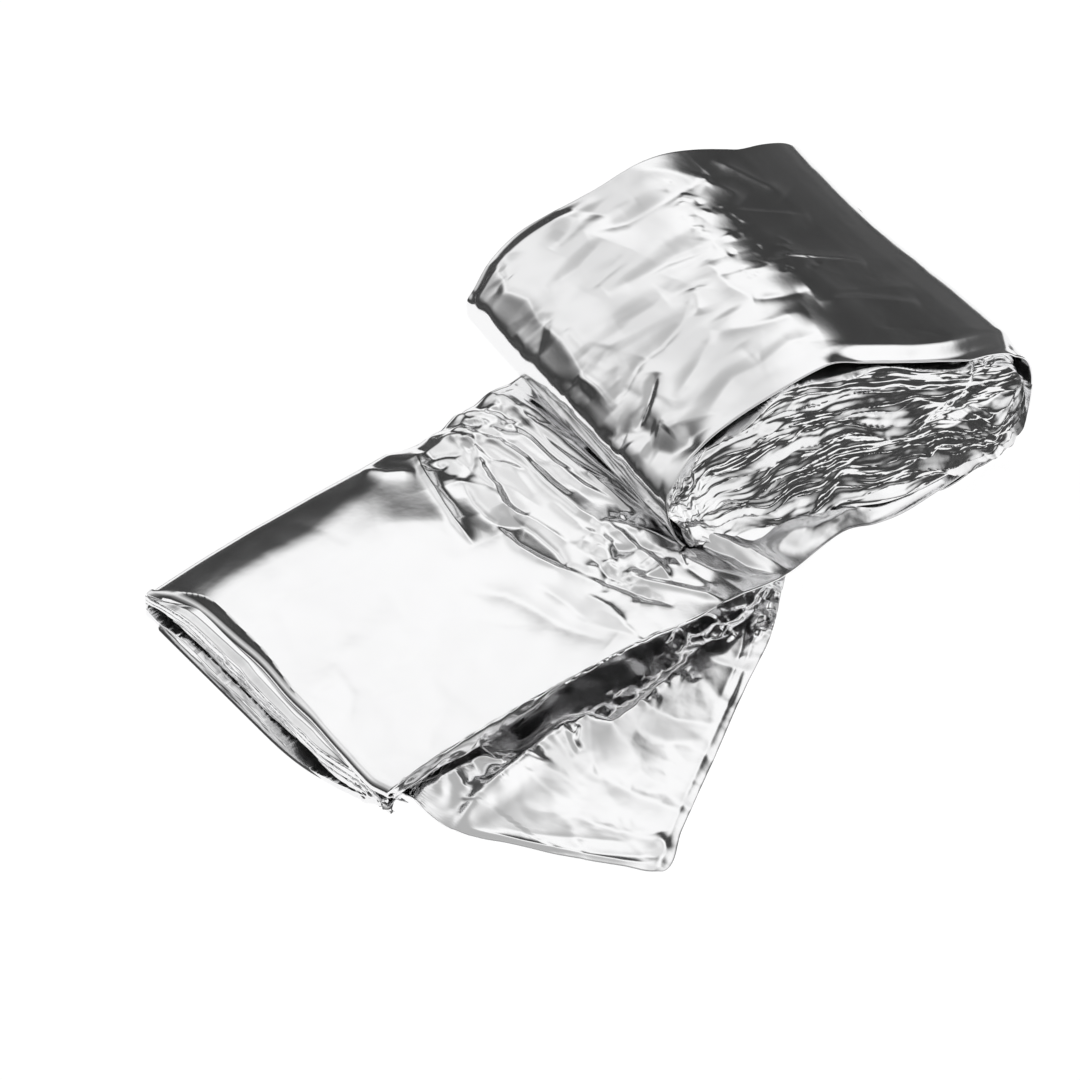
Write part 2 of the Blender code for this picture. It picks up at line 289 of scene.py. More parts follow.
def lattice_corners(u, v, seed):
    """Random numbers at the four corners of every place's cell, and its place in the cell."""
    table = np.random.default_rng(seed).uniform(-1, 1, (LATTICE, LATTICE))
    i, j = np.floor(u).astype(int), np.floor(v).astype(int)
    left, right = i % LATTICE, (i + 1) % LATTICE
    low, high = j % LATTICE, (j + 1) % LATTICE
    corners = table[left, low], table[right, low], table[left, high], table[right, high]
    return corners, u - i, v - j


def lattice_noise(u, v, seed):
    """Smooth noise from -1 to 1, with one bump a unit."""
    corners, a, b = lattice_corners(u, v, seed)
    a, b = a * a * (3 - 2 * a), b * b * (3 - 2 * b)
    return blended(blended(*corners[:2], a), blended(*corners[2:], a), b)


def facet_noise(u, v, seed):
    """Flat facets with sharp creases between them, from -1 to 1, with one facet a unit."""
    skew = (u + v) * (math.sqrt(3) - 1) / 2
    (near_corner, right, high, far_corner), a, b = lattice_corners(u + skew, v + skew, seed)
    side = np.where(a > b, right, high)
    major, minor = np.maximum(a, b), np.minimum(a, b)
    return near_corner * (1 - major) + side * (major - minor) + far_corner * minor


def crumpled(u, v, size, seed):
    """Crumpled film: two sizes of facets whose edges wander."""
    u, v = u / size, v / size
    scaled_u, scaled_v = u * WANDER_SCALE, v * WANDER_SCALE
    du = WANDER * lattice_noise(scaled_u, scaled_v, seed + 1)
    dv = WANDER * lattice_noise(scaled_u + 9, scaled_v + 5, seed + 2)
    fine = facet_noise(FINE_FACET_SCALE * (u + dv), FINE_FACET_SCALE * (v - du), seed + 3)
    return facet_noise(u + du, v + dv, seed) + FINE_FACET_SHARE * fine


# Crumpled film: its height, the scales of u and v, the size of its facets, and its seed.
Crumple = namedtuple("Crumple", "height u v size seed")


def crumples(u, v, rows, seed=0):
    """Height of a few crumples together; the seed is added to each one's own."""
    return sum(
        row.height * crumpled(u * row.u, v * row.v, row.size, row.seed + seed) for row in rows
    )


# A wave of smooth noise: its height, its lengths along u and v, and its seed.
Wave = namedtuple("Wave", "height u v seed")


def waves(u, v, rows, seed=0):
    """Height of a few waves together; the seed is added to each one's own."""
    return sum(row.height * lattice_noise(u / row.u, v / row.v, row.seed + seed) for row in rows)


# Soft wrinkles: their height, heading in degrees, length, width and seed.
Wrinkles = namedtuple("Wrinkles", "height heading length width seed")
WRINKLE_WANDER = 0.35  # as a share of a wrinkle's width


def wrinkled(u, v, rows):
    """Soft wrinkles that run along one heading and wander a little."""
    total = 0
    for row in rows:
        c, s = math.cos(math.radians(row.heading)), math.sin(math.radians(row.heading))
        along, across = u * c + v * s, v * c - u * s
        wander = lattice_noise(along / row.length, across / (2 * row.width), row.seed + 7)
        across = across + WRINKLE_WANDER * row.width * wander
        total = total + row.height * lattice_noise(along / row.length, across / row.width, row.seed)
    return total


# A crease: points along it, its height, and how far it slopes off on its left and right.
Crease = namedtuple("Crease", "points height left right")
CREASE_WIDTHS = 6  # how many widths away a crease is still felt
CREASE_END = 0.2  # the share of a crease's length over which each end fades
CREASE_ROUNDING = 0.35
WIDEST_ROUNDING = 4.0


def crease_height(u, v, crease):
    """Height of a crease's ridge or trough, which fades at both of its ends."""
    points = np.array(crease.points, float)
    margin = CREASE_WIDTHS * max(crease.left, crease.right)
    low, high = points.min(axis=0) - margin, points.max(axis=0) + margin
    felt = (u > low[0]) & (u < high[0]) & (v > low[1]) & (v < high[1])
    height = np.zeros_like(u)
    if not felt.any():
        return height
    pu, pv = u[felt], v[felt]
    best = np.full(pu.shape, 1e9)
    along = np.zeros(pu.shape)
    left_side = np.zeros(pu.shape, bool)
    lengths = np.hypot(*np.diff(points, axis=0).T)
    for k, (a, b) in enumerate(zip(points[:-1], points[1:])):
        run = (b - a) / lengths[k]
        ahead = (pu - a[0]) * run[0] + (pv - a[1]) * run[1]
        across = (pv - a[1]) * run[0] - (pu - a[0]) * run[1]
        clipped = np.clip(ahead, 0, lengths[k])
        far = np.hypot(ahead - clipped, across)
        closer = far < best
        best = np.where(closer, far, best)
        along = np.where(closer, lengths[:k].sum() + clipped, along)
        left_side = np.where(closer, across > 0, left_side)
    share = along / lengths.sum()
    fade = np.clip(share / CREASE_END, 0, 1) * np.clip((1 - share) / CREASE_END, 0, 1)
    width = np.where(left_side, crease.left, crease.right)
    rounding = CREASE_ROUNDING * np.minimum(width, WIDEST_ROUNDING)
    eased = np.hypot(best, rounding) - rounding
    height[felt] = crease.height * np.exp(-eased / width) * fade**0.7
    return height


# Small creases strewn over a box of the film: how many, the box's reach along u and v, their
# heading and its spread in degrees, their length, height and width, and the seed.
Scatter = namedtuple("Scatter", "count u v heading spread length height width seed")


def scattered(u, v, scatter):
    """Many small straight creases, strewn over a box of the film around one heading."""
    draw = np.random.default_rng(scatter.seed)
    total = np.zeros_like(u)
    for _ in range(scatter.count):
        middle = np.array([draw.uniform(*scatter.u), draw.uniform(*scatter.v)])
        angle = math.radians(scatter.heading + draw.normal() * scatter.spread)
        half = scatter.length * draw.uniform(0.35, 1.0) / 2
        run = half * np.array([math.cos(angle), math.sin(angle)])
        bend = 0.12 * half * draw.normal() * np.array([-math.sin(angle), math.cos(angle)])
        width = scatter.width * draw.uniform(0.5, 1.5)
        height = scatter.height * draw.uniform(0.3, 1.0) * draw.choice([-1, 1])
        lean = draw.uniform(0.5, 2.0)
        points = (middle - run, middle + bend, middle + run)
        total += crease_height(u, v, Crease(points, height, width * lean, width / lean))
    return total


def strewn(u, v, scatters):
    """Height of a few scatters of small creases together."""
    return sum(scattered(u, v, scatter) for scatter in scatters)


# ---------------------------------------------------------------- film pieces
FILM_HALF = 0.3  # half the thickness that a piece of film is given
CRISP_ANGLE = math.radians(38)
# A ring of places round the ribbon: share of the width, side of the ribbon, reach past the edge.
Ring = namedtuple("Ring", "t side out")
# The numbers that a relief function reads, each an array over a piece's whole grid.
Spot = namedtuple("Spot", "s x y z t side out up")


def sheet_ring(shares, face, tuck=0.035, lip=6):
    """Places across one face of the ribbon, whose edges turn under for a little way."""
    turn = np.linspace(0, math.pi, lip + 2)[1:-1]
    under = np.linspace(tuck, 0, 5)
    ones = np.ones(len(shares))
    t = np.concatenate([under, np.zeros(lip), shares, np.ones(lip), 1 - under[::-1]])
    side = np.concatenate([0 * under - 1, -np.cos(turn), ones, np.cos(turn), 0 * under - 1])
    out = np.concatenate([0 * under, -np.sin(turn), 0 * ones, np.sin(turn), 0 * under])
    return Ring(t, face * side, out)


def refined(stretches):
    """Stations as arrays, at a spacing that each stretch sets: s, x, z, y_front and y_back."""
    stations = [station for part, _ in stretches for station in part]
    wanted = np.concatenate([np.full(len(part), step) for part, step in stretches])
    raw = np.array([np.stack(station) for station in stations])
    steps = np.hypot(*(np.diff(raw[:, k], axis=0).mean(axis=1) for k in (0, 1)))
    s = np.concatenate([[0], np.cumsum(np.maximum(steps, 1e-4))])
    counted = np.concatenate([[0], np.cumsum(np.diff(s) / ((wanted[1:] + wanted[:-1]) / 2))])
    at = np.interp(np.linspace(0, counted[-1], 1 + int(round(counted[-1]))), counted, s)
    found = between(s, raw, at)
    return at, found[:, 0], found[:, 1], found[:, 2], found[:, 3]


def folded_film(stretches, places, half, offset, relief):
    """Grid of points of a piece of film, folded along the stretches and creased by relief.

    The film's middle lies at an offset from the ribbon's middle. The relief gives two heights: one
    that lifts both faces of the film along the ribbon's own normal, and one that pushes its
    surface outwards.
    """
    s, x, z, y_front, y_back = refined(stretches)
    slope_x, slope_z = np.gradient(x, axis=0), np.gradient(z, axis=0)
    length = np.hypot(slope_x, slope_z)
    normal_x, normal_z = -slope_z / length, slope_x / length
    y = blended(y_front, y_back, places.t)
    t, side, out = (np.broadcast_to(row, x.shape) for row in places)
    spot = Spot(np.broadcast_to(s[:, None], x.shape), x, y, z, t, side, out, normal_z)
    lift, push = relief(spot)
    off = offset + side * half + lift
    point = np.stack([x + normal_x * off, y + out * half, z + normal_z * off], axis=-1)
    facing = np.stack([normal_x * side, out, normal_z * side], axis=-1)
    facing /= np.linalg.norm(facing, axis=-1, keepdims=True)
    return point + facing * np.asarray(push)[..., None], spot


def film_object(name, points, spot):
    """Object made from a flat grid whose points take the folded film's places."""
    rows, columns = points.shape[:2]
    cut = bmesh.new()
    bmesh.ops.create_grid(cut, x_segments=rows - 1, y_segments=columns - 1, size=0.5)
    mesh = bpy.data.meshes.new(name)
    cut.to_mesh(mesh)
    cut.free()
    flat = np.empty(len(mesh.vertices) * 3)
    mesh.vertices.foreach_get("co", flat)
    flat = flat.reshape(-1, 3)
    i = np.rint((flat[:, 0] + 0.5) * (rows - 1)).astype(int)
    j = np.rint((flat[:, 1] + 0.5) * (columns - 1)).astype(int)
    placed = points[i, j] * MM + np.array(DRAWING_ZERO)
    mesh.vertices.foreach_set("co", placed.ravel())
    width = np.concatenate(
        [[0], np.cumsum(np.linalg.norm(np.diff(points[rows // 2], axis=0), axis=1))]
    )
    corner = np.empty(len(mesh.loops), int)
    mesh.loops.foreach_get("vertex_index", corner)
    chart = np.stack([spot.s[i, 0], width[j]], axis=-1)[corner] * MM
    layer = mesh.uv_layers.new(name="film")
    layer.data.foreach_set("uv", chart.ravel())
    mesh.update()
    body = bmesh.new()
    body.from_mesh(mesh)
    bmesh.ops.remove_doubles(body, verts=body.verts, dist=1e-6)
    if flipped(points, spot):
        bmesh.ops.reverse_faces(body, faces=body.faces)
    body.to_mesh(mesh)
    body.free()
    mesh.polygons.foreach_set("use_smooth", [True] * len(mesh.polygons))
    mesh.set_sharp_from_angle(angle=CRISP_ANGLE)
    obj = bpy.data.objects.new(name, mesh)
    bpy.context.scene.collection.objects.link(obj)
    return obj


def flipped(points, spot):
    """True where the grid's faces would point into the film."""
    k, m = points.shape[0] // 2, points.shape[1] // 4
    along = points[k + 1, m] - points[k, m]
    across = points[k, m + 1] - points[k, m]
    outward = points[k, m] - points[k].mean(axis=0)
    if spot.side[k, m]:
        outward = np.array([0, 0, spot.up[k, m] * spot.side[k, m]])
    return np.dot(np.cross(along, across), outward) < 0


def declare(obj, material):
    """Gives the piece its material, rides it on the blanket's body and hides the plain solid blanket
    that it stands in for.
    """
    obj.data.materials.append(material)
    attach(obj, "root")
    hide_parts("foil_blanket")


# ---------------------------------------------------------------- shader helpers
class Value:
    """A shader socket whose sums can be written as plain expressions."""

    def __init__(self, tree, socket):
        self.tree = tree
        self.socket = socket

    def _math(self, operation, *operands):
        return self.tree.node("ShaderNodeMath", {"operation": operation}, operands)

    def __add__(self, other):
        return self._math("ADD", self, other)

    def __sub__(self, other):
        return self._math("SUBTRACT", self, other)

    def __rsub__(self, other):
        return self._math("SUBTRACT", other, self)

    def __mul__(self, other):
        return self._math("MULTIPLY", self, other)

    def __truediv__(self, other):
        return self._math("DIVIDE", self, other)

    def __rtruediv__(self, other):
        return self._math("DIVIDE", other, self)

    __radd__ = __add__
    __rmul__ = __mul__


class Nodes:
    """A node tree that is built by one method."""

    def __init__(self, tree):
        self.tree = tree
        self.tree.nodes.clear()

    def node(self, kind, settings=(), inputs=(), output=0):
        """Makes a node, sets it, feeds its sockets and returns one of its outputs."""
        made = self.tree.nodes.new(kind)
        for name, value in dict(settings).items():
            setattr(made, name, value)
        pairs = inputs.items() if isinstance(inputs, dict) else enumerate(inputs)
        for key, value in pairs:
            if isinstance(value, Value):
                self.tree.links.new(value.socket, made.inputs[key])
            else:
                made.inputs[key].default_value = value
        if not made.outputs:
            return None
        return Value(self, made.outputs[output])

    def smooth(self, value, low, high):
        """A smooth step from nought at low to one at high."""
        inputs = {"Value": value, "From Min": low, "From Max": high}
        return self.node("ShaderNodeMapRange", {"interpolation_type": "SMOOTHSTEP"}, inputs)

    def near(self, value, middle, reach):
        """A soft bump of height one around a middle."""
        away = (value - middle) / reach
        return 1 / (1 + away * away * away * away)


FILM_COLOUR = (0.90, 0.90, 0.905, 1.0)
FILM_ROUGHNESS = 0.10
DENTS = {"Scale": 90.0, "Detail": 3.0}  # soft dents in the film, a centimetre across
GRAIN = {"Scale": 420.0, "Detail": 2.0}  # finer ones, two millimetres across
GRAIN_SHARE = 0.35
DENT_DEPTH = 0.0004
DENT_STRENGTH = 0.12
WHITE = (1.0, 1.0, 1.0, 1.0)
FLOOR_COLOUR = (0.35, 0.35, 0.35, 1.0)
FLOOR_GLOW = 0.86


def film_material():
    """Bright metallised film with soft dents."""
    material = bpy.data.materials.new("silver_film")
    material.use_nodes = True
    nodes = Nodes(material.node_tree)
    place = nodes.node("ShaderNodeTexCoord", output="Object")
    dents = nodes.node("ShaderNodeTexNoise", {}, {"Vector": place, **DENTS}, "Fac")
    grain = nodes.node("ShaderNodeTexNoise", {}, {"Vector": place, **GRAIN}, "Fac")
    height = dents + grain * GRAIN_SHARE
    bump = nodes.node(
        "ShaderNodeBump",
        {},
        {"Strength": DENT_STRENGTH, "Distance": DENT_DEPTH, "Height": height},
    )
    shader = nodes.node(
        "ShaderNodeBsdfPrincipled",
        {},
        {
            "Base Color": FILM_COLOUR,
            "Metallic": 1.0,
            "Roughness": FILM_ROUGHNESS + dents * FILM_ROUGHNESS,
            "Normal": bump,
        },
    )
    nodes.node("ShaderNodeOutputMaterial", {}, {"Surface": shader})
    return material


def floor_material():
    """A plain pale floor with a little light of its own, so that the film mirrors it as white."""
    material = bpy.data.materials.new("pale_floor")
    material.use_nodes = True
    nodes = Nodes(material.node_tree)
    shader = nodes.node(
        "ShaderNodeBsdfPrincipled",
        {},
        {
            "Base Color": FLOOR_COLOUR,
            "Roughness": 0.9,
            "Specular IOR Level": 0.0,
            "Emission Color": WHITE,
            "Emission Strength": FLOOR_GLOW,
        },
    )
    nodes.node("ShaderNodeOutputMaterial", {}, {"Surface": shader})
    return material


# ---------------------------------------------------------------- creases listed one by one
def creases(*rows):
    """Creases from rows of points, height, and width on the left and right when walked along."""
    return tuple(Crease(*row) for row in rows)


STRIP_CREASES = creases(
    (((85.3, 99.8), (80.6, 87.8), (77.9, 78.4), (75.1, 67.8), (73.8, 58.6)), 0.9, 1.6, 0.8),
    (((87.3, 99.0), (83.6, 87.8), (80.9, 78.4), (78.1, 67.8)), -0.5, 3.0, 3.0),
    (((97.1, 89.7), (91.7, 81.9), (86.2, 79.0)), -0.7, 2.2, 1.4),
    (((86.0, 79.1), (83.3, 71.0), (82.7, 65.1), (83.6, 60.6), (88.2, 56.0)), -1.0, 1.0, 5.0),
    (((98.7, 92.7), (92.9, 79.5), (91.4, 71.7), (88.8, 64.9), (88.4, 57.0)), 1.0, 1.0, 3.5),
    (((94.0, 80.5), (92.8, 71.7), (90.6, 64.9), (90.6, 58.0)), -0.7, 1.4, 0.8),
    (
        ((88.8, 64.9), (87.4, 59.8), (88.6, 52.3),
         (88.7, 43.5), (87.2, 37.7), (91, 33.5)),
        -0.9, 0.9, 3.2,
    ),
    (
        ((97.1, 96.5), (101.3, 83.3), (102.2, 74.6),
         (101.2, 64.2), (101.4, 50), (104, 40.5)),
        1.1, 2.6, 1.1,
    ),
    (((99.5, 92), (103.9, 80), (104.4, 68), (104.0, 56)), -0.8, 0.9, 1.4),
    (((83.2, 62.0), (82.3, 51.3), (83.8, 44.0), (86.2, 37.3), (89.2, 29.7), (92, 21)), 0.6, 0.8, 1.2),
    (((86.2, 37.3), (89.2, 29.7), (93.6, 20.3), (98.5, 8.4)), -0.55, 1.2, 0.7),
    (
        ((104.3, 99.8), (109.3, 92.4), (111.1, 80.7), (111.9, 68),
         (113.8, 54), (116, 38), (113, 24)),
        -1.0, 1.2, 3.0,
    ),
    (((107.6, 90.2), (107.9, 78.0), (107.3, 67.1), (108.0, 56.3), (111.1, 46.2)), 0.8, 1.0, 1.8),
    (((104, 44), (109.4, 36), (113.4, 29), (115, 20)), 0.8, 1.2, 2.0),
    (((113.5, 98.2), (111.6, 84.0), (110.8, 72.8), (111.2, 58), (112.8, 41.0)), 1.9, 9.0, 1.2),
    (((126.4, 99.0), (125.0, 79.3), (122.9, 62.2), (121.5, 46.4), (119.1, 31.5)), -0.5, 1.4, 3.0),
    (((103.0, 44.5), (99.2, 36.6), (93.9, 28.2)), 0.5, 1.6, 1.6),
    (((86.0, 38.7), (90.8, 33.9), (96.9, 28.4)), 0.4, 1.2, 2.4),
    (((95.8, 31.6), (88.5, 23.6)), -0.4, 1.2, 1.2),
    (((95.0, 25.4), (100.5, 17.4), (105.3, 10.3), (110.2, 2.3)), 1.1, 2.4, 1.3),
    (((97.5, 24.4), (103.5, 16.4), (109.3, 8.3)), -0.9, 1.6, 1.6),
    (((104.1, 43.6), (104.6, 32.4), (105.2, 24.4), (103.6, 16.0)), 0.7, 1.0, 1.2),
    (((99.1, 34.3), (106.2, 29.9), (107.4, 22.6)), -0.6, 1.0, 1.0),
    (((95.8, 27.0), (100.3, 21.6), (106.0, 20.3)), 0.6, 0.9, 1.2),
    (((110.1, 24.7), (114.8, 13.2), (123.1, 7.0)), 0.8, 2.5, 2.5),
    (((117.2, 38.9), (117.3, 30.2), (119.4, 23.4), (124.6, 16.1), (127.8, 5.8)), -1.2, 1.2, 2.2),
    (((120.5, 30), (124.5, 22.4), (130.6, 15.1), (134, 6.0)), 0.9, 1.5, 2.0),
    (((62.3, 48.0), (69.9, 39.7), (72.1, 31.3), (73.5, 22.2), (78.7, 9.1)), -0.45, 3.5, 3.5),
    (((78.3, 37.8), (79.3, 27.3), (79.4, 18.7)), -0.35, 2.5, 2.0),
    (((58.6, 78.6), (66.0, 74.3), (70.3, 71.9), (75.4, 68.0)), 0.18, 6.0, 3.0),
    (((69.7, 101.0), (73.1, 94.3), (79.4, 90.0)), 0.6, 1.5, 2.0),
    (((87.5, 101.2), (86.5, 92.0), (84.9, 82.1)), -0.6, 1.8, 1.8),
    (((90.0, 102), (94.5, 95.0), (96.9, 88.1)), 0.9, 1.3, 1.6),
    (((94.0, 102), (98.5, 97.0), (101.9, 91.1)), -0.9, 1.1, 1.3),
    (((98.0, 102), (103.5, 97.5), (107.9, 90.1)), 0.9, 1.1, 1.6),
)
ROLL_CREASES = creases(
    (((150.3, 109.0), (160.4, 104.5), (172.7, 102.9), (188.3, 103.2)), -0.8, 4.5, 2.6),
    (((184.3, 104.2), (187.6, 98.1), (190.3, 92.5)), 0.5, 2.0, 3.0),
    (((151.0, 121.5), (154.9, 117.3), (158.4, 110.5), (166.9, 108.6)), -0.5, 2.2, 2.6),
    (((141.0, 111.5), (147.5, 112.6), (154.6, 117.7)), -0.4, 2.0, 2.6),
    (((140.8, 88.2), (150.6, 86.4), (158.4, 85.0), (171.2, 81.0)), -0.55, 3.6, 2.4),
    (((138.5, 92.6), (146.2, 93.6), (154.4, 95.1)), -0.35, 2.5, 2.5),
    (((158.3, 72.5), (147.5, 66.2), (139.5, 64.1), (130.8, 65.5)), -0.6, 1.8, 2.4),
    (((157.3, 73.5), (152.5, 64.9)), 0.4, 1.5, 1.8),
    (((151.6, 57.5), (141.6, 52.6), (132.1, 49.1)), -0.5, 2.0, 2.6),
    (((134.0, 59.2), (127.7, 54.9), (121.3, 51.8)), -1.1, 1.0, 1.4),
    (((121.0, 63.4), (126.1, 62.6), (134.8, 66.0)), -0.6, 1.8, 1.8),
    (((153.0, 49.2), (152.9, 40.8), (162.4, 41.6), (170.5, 38.9)), -0.4, 2.2, 2.2),
    (((150.5, 57.2), (158.6, 51.8), (164.3, 49.1), (173.0, 47.0)), 0.45, 2.4, 2.0),
    (((165.8, 79.0), (164.1, 66.8), (165.5, 59.1)), 0.4, 2.0, 2.0),
    (((165.4, 59.1), (172.3, 55.3), (179.4, 53.4)), -0.5, 1.6, 2.2),
    (((131.1, 121.9), (126.4, 111.2), (128.0, 104.4), (125.6, 95.9)), 0.7, 1.4, 3.0),
    (((126.0, 99.5), (126.0, 88.7), (124.8, 81.6), (122.8, 73.5), (122.2, 60.9)), 0.8, 1.2, 3.4),
    (((118.0, 55.9), (121.2, 51.2), (124.3, 46.4)), -1.2, 2.6, 3.0),
    (((119.7, 46.1), (122.3, 39.6), (126.4, 37.2), (129.7, 42.0)), -1.4, 3.6, 3.0),
    (((122.4, 75.8), (123.1, 68.7), (121.6, 60.9)), 0.7, 1.4, 1.4),
    (((171.5, 118), (180, 109.9), (186, 101)), 0.4, 3.0, 3.0),
    (((193, 109), (198, 99), (203, 90)), 0.5, 2.4, 2.4),
    (((176, 90.5), (186, 88.4), (203, 80)), 0.35, 1.6, 2.0),
    (((172, 66.5), (184, 66.4), (203, 58)), 0.4, 1.4, 2.0),
    (((178, 48), (190, 45.4), (204, 38)), 0.35, 1.4, 2.0),
    (((150, 76), (160, 74.4), (171, 69)), -0.35, 2.4, 2.4),
    (((137, 78), (147, 76.0), (156, 79)), -0.3, 2.4, 2.4),
    (((133, 103), (142, 101.0), (152, 104)), -0.35, 2.4, 2.4),
    (((135, 40), (145, 43.0), (153, 40)), -0.35, 2.6, 2.6),
)
FLAP_CREASES = creases(
    (
        ((128, 8), (114, -3.5), (103, -11), (90, -19),
         (76, -27.5), (63, -35.5), (53, -42.5)),
        0.6, 0.7, 0.9,
    ),
    (((123, 7), (112, -2.0), (104, -7.5), (95, -13)), -0.45, 0.8, 1.0),
    (((19.6, -6.3), (28, -17.0), (36.3, -28.0), (44, -37.4), (49.5, -43.3)), 0.7, 0.7, 0.8),
    (((27, -12), (34, -20.0), (42, -27.5), (50, -35)), -0.4, 0.9, 1.4),
    (((67.0, 4.1), (60.9, -5.5), (55.4, -12.4), (45.2, -19.9), (40.1, -22.4)), 0.5, 2.2, 2.2),
    (((54.4, -11.0), (58.2, -20.3), (66.6, -37.9)), 0.5, 2.0, 2.4),
    (((44.7, 5.3), (34.7, 0.5), (26.3, -2.8), (16.0, -6.9)), 1.0, 2.6, 1.4),
    (((24.1, 16.0), (28.5, 1.0), (33.2, 0.7), (45.2, 3.9)), 0.9, 1.6, 2.0),
    (((41.9, -19.0), (38.7, -28.0), (35.9, -33.7)), 0.5, 1.6, 1.6),
    (((42.6, -19.0), (48.0, -28.8), (56.5, -41.0)), 0.45, 1.8, 1.8),
    (((20.0, -12.6), (28.8, -21.8), (35.6, -27.7), (42.7, -34.4), (54.2, -44.0)), -0.5, 1.0, 1.6),
    (((56.6, -36.4), (54.8, -41.3), (47.0, -46.9)), 1.6, 1.8, 1.4),
    (((100.3, 5.1), (103.8, -2.4), (108.8, -10.1)), -0.6, 1.2, 2.4),
    (((98.3, -1.4), (96.2, -10.4), (97.2, -19.9)), 0.45, 2.2, 2.2),
    (((70.0, 5.1), (76.7, 0.4), (79.1, -5.0), (82.6, -11.2), (92.1, -21.0)), 0.55, 2.4, 2.0),
    (((118.5, -1.0), (110.1, -6.0), (101.6, -13.1), (92.8, -18.2)), -0.5, 1.2, 1.2),
    (((73.0, -8.3), (77.0, -14.9), (85.4, -20.5)), -0.5, 2.6, 2.6),
    (((60, -22), (66, -28), (68, -38)), -0.4, 2.0, 2.0),
    (((45, -8), (38, -16), (30, -20)), -0.35, 2.6, 2.6),
    (((28, 2), (22, -6), (20, -12)), 0.5, 1.6, 1.6),
)
FLAP_CREST = (
    (16, -7.2), (28.4, -3.0), (41.5, -1.1), (48.2, 0.7), (59.0, 2.8), (65.7, 1.1), (68.6, -3.4),
    (75.6, -3.1), (81.5, -2.4), (90.2, -0.1), (99.3, 2.8), (106.7, 3.4), (118, 3.8), (133, 9),
    (160, 24),
)


def hand_placed(x, y, rows):
    """Height of a table of creases together."""
    return sum(crease_height(x, y, row) for row in rows)


# ---------------------------------------------------------------- the strip
# In these sections an OFFSET is how far a film's middle lies from the ribbon's middle, and a name
# that ends in X or Y holds a place or a stretch along x or y. Over its RISE stretch a form starts,
# over its FADE stretch it ends, and a SPAN holds both of these along x.
STRIP_OFFSET = 0.8
STRIP_START = 4.0
STRIP_WIDTH = 95
STRIP_WAVES = (Wave(0.25, 34, 30, 3), Wave(0.05, 12, 14, 4))
STRIP_WRINKLES = (Wrinkles(0.10, 24, 26, 7.0, 13),)
STRIP_CRUMPLES = (Crumple(1.0, 1, 0.3, 8.0, 11),)
CRUMPLE_PLAIN = 0.01  # the share of them that the plain part has
CRUMPLE_FOLDED = 0.05  # what the folded part has more
FOLDED_RISE_X = (76, 96)
STRIP_SCATTERS = (
    Scatter(40, (84, 130), (4, 100), -80, 10, 34, 0.35, 1.2, 5),
    Scatter(40, (93, 112), (14, 46), -60, 45, 9, 0.28, 0.8, 6),
    Scatter(26, (84, 112), (84, 101), -60, 24, 12, 0.45, 0.9, 7),
    Scatter(26, (10, 80), (8, 90), -30, 60, 26, 0.10, 3.4, 8),
)
# The strip's left edge: how far right of its start it lies, at shares of the width.
LEFT_EDGE = (
    (0, 4.85), (0.06, 3.25), (0.25, 4.25), (0.4, 4.45), (0.6, 5.25), (0.73, 4.75), (0.85, 4.25),
    (0.93, 2.25), (1, -0.15),
)
LEFT_EDGE_WAVES = (Wave(0.2, 1 / 9, 1, 18),)
# Where the band along the strip's back starts to slope down: y at places along x.
BAND_START = ((0, 79), (8, 80.5), (19, 82.5), (31, 83.5), (45, 83), (58, 88), (69, 92), (79, 96))
BAND_WAVES = (Wave(1.0, 14, 30, 15),)
BAND_EASING = 6.0
BAND_SLOPE = 0.19
BAND_CURVE = 0.003
SWELL_HEIGHT = 2.3
SWELL_RISE_Y = (34, 82)
SWELL_FADE_X = (58, 92)
SWELL_LIP = 0.76  # how far in the swell's left lip reaches, as a share of its height
LEAST_LIP = 0.1
# The lip along the back, the fall towards it before the folds, and the folds' own back edge.
BACK_LIP_DROP = 0.8
BACK_LIP_REACH = 0.9
BACK_FALL_START = 56
BACK_FALL_CURVE = 0.0012
BACK_FALL_SPAN = ((42, 72), (90, 104))
BACK_EDGE_START = 95
BACK_EDGE_WAVES = (Wave(1.6, 6, 30, 17),)
BACK_EDGE_SLOPE = 0.34
BACK_EDGE_SPAN = ((78, 86), (106, 112))
# The slope up to the roll, and the hem that rises to the roll's underside.
ROLL_SLOPE = 0.45
ROLL_SLOPE_START = 118
ROLL_SLOPE_LENGTH = 8
ROLL_SLOPE_RISE_Y = (12, 40)
ROLL_SLOPE_FADE_X = (126, 136)
UNDER_ROLL_X = (136, 146)
HEM_HEIGHT = 3.4
HEM_CRUMPLES = (Crumple(0.4, 1, 1.6, 8.0, 14),)
HEM_RISE_X = (132, 150)
HEM_FOOT = 5
HEM_FOOT_RIGHT = 4.5  # how much further back the foot is at the right
HEM_FOOT_X = (152, 168)
HEM_TOP = 16
# The strip's front lip, which hangs down towards the bottom sheet: the shares of the width that
# it takes, and how level the film is where it starts and is in full.
LIP_SHARES = (0.2, 0)
LIP_LEVEL = (0.2, 0.9)
LIP_FADE_X = (84, 118)
LIP_HANG = 2.6
LIP_WAVES = (Wave(0.9, 11, 1, 19),)
LIP_SHORTER = 0.85
LIP_SHORTER_X = (46, 62)
LIP_FOLDS = (Crumple(0.7, 0.3, 1.6, 3.2, 16),)
# The layer under the left end lies a little lower than the strip, and lower still at its back.
INNER_DROP = 1.3
INNER_BACK_DROP = 1.4
INNER_BACK_SHARES = (0.84, 1.0)


def left_edge(t):
    """How far right of the strip's start its left edge lies, at shares of the width."""
    return read_table(LEFT_EDGE, t) + waves(t, t * 0, LEFT_EDGE_WAVES)


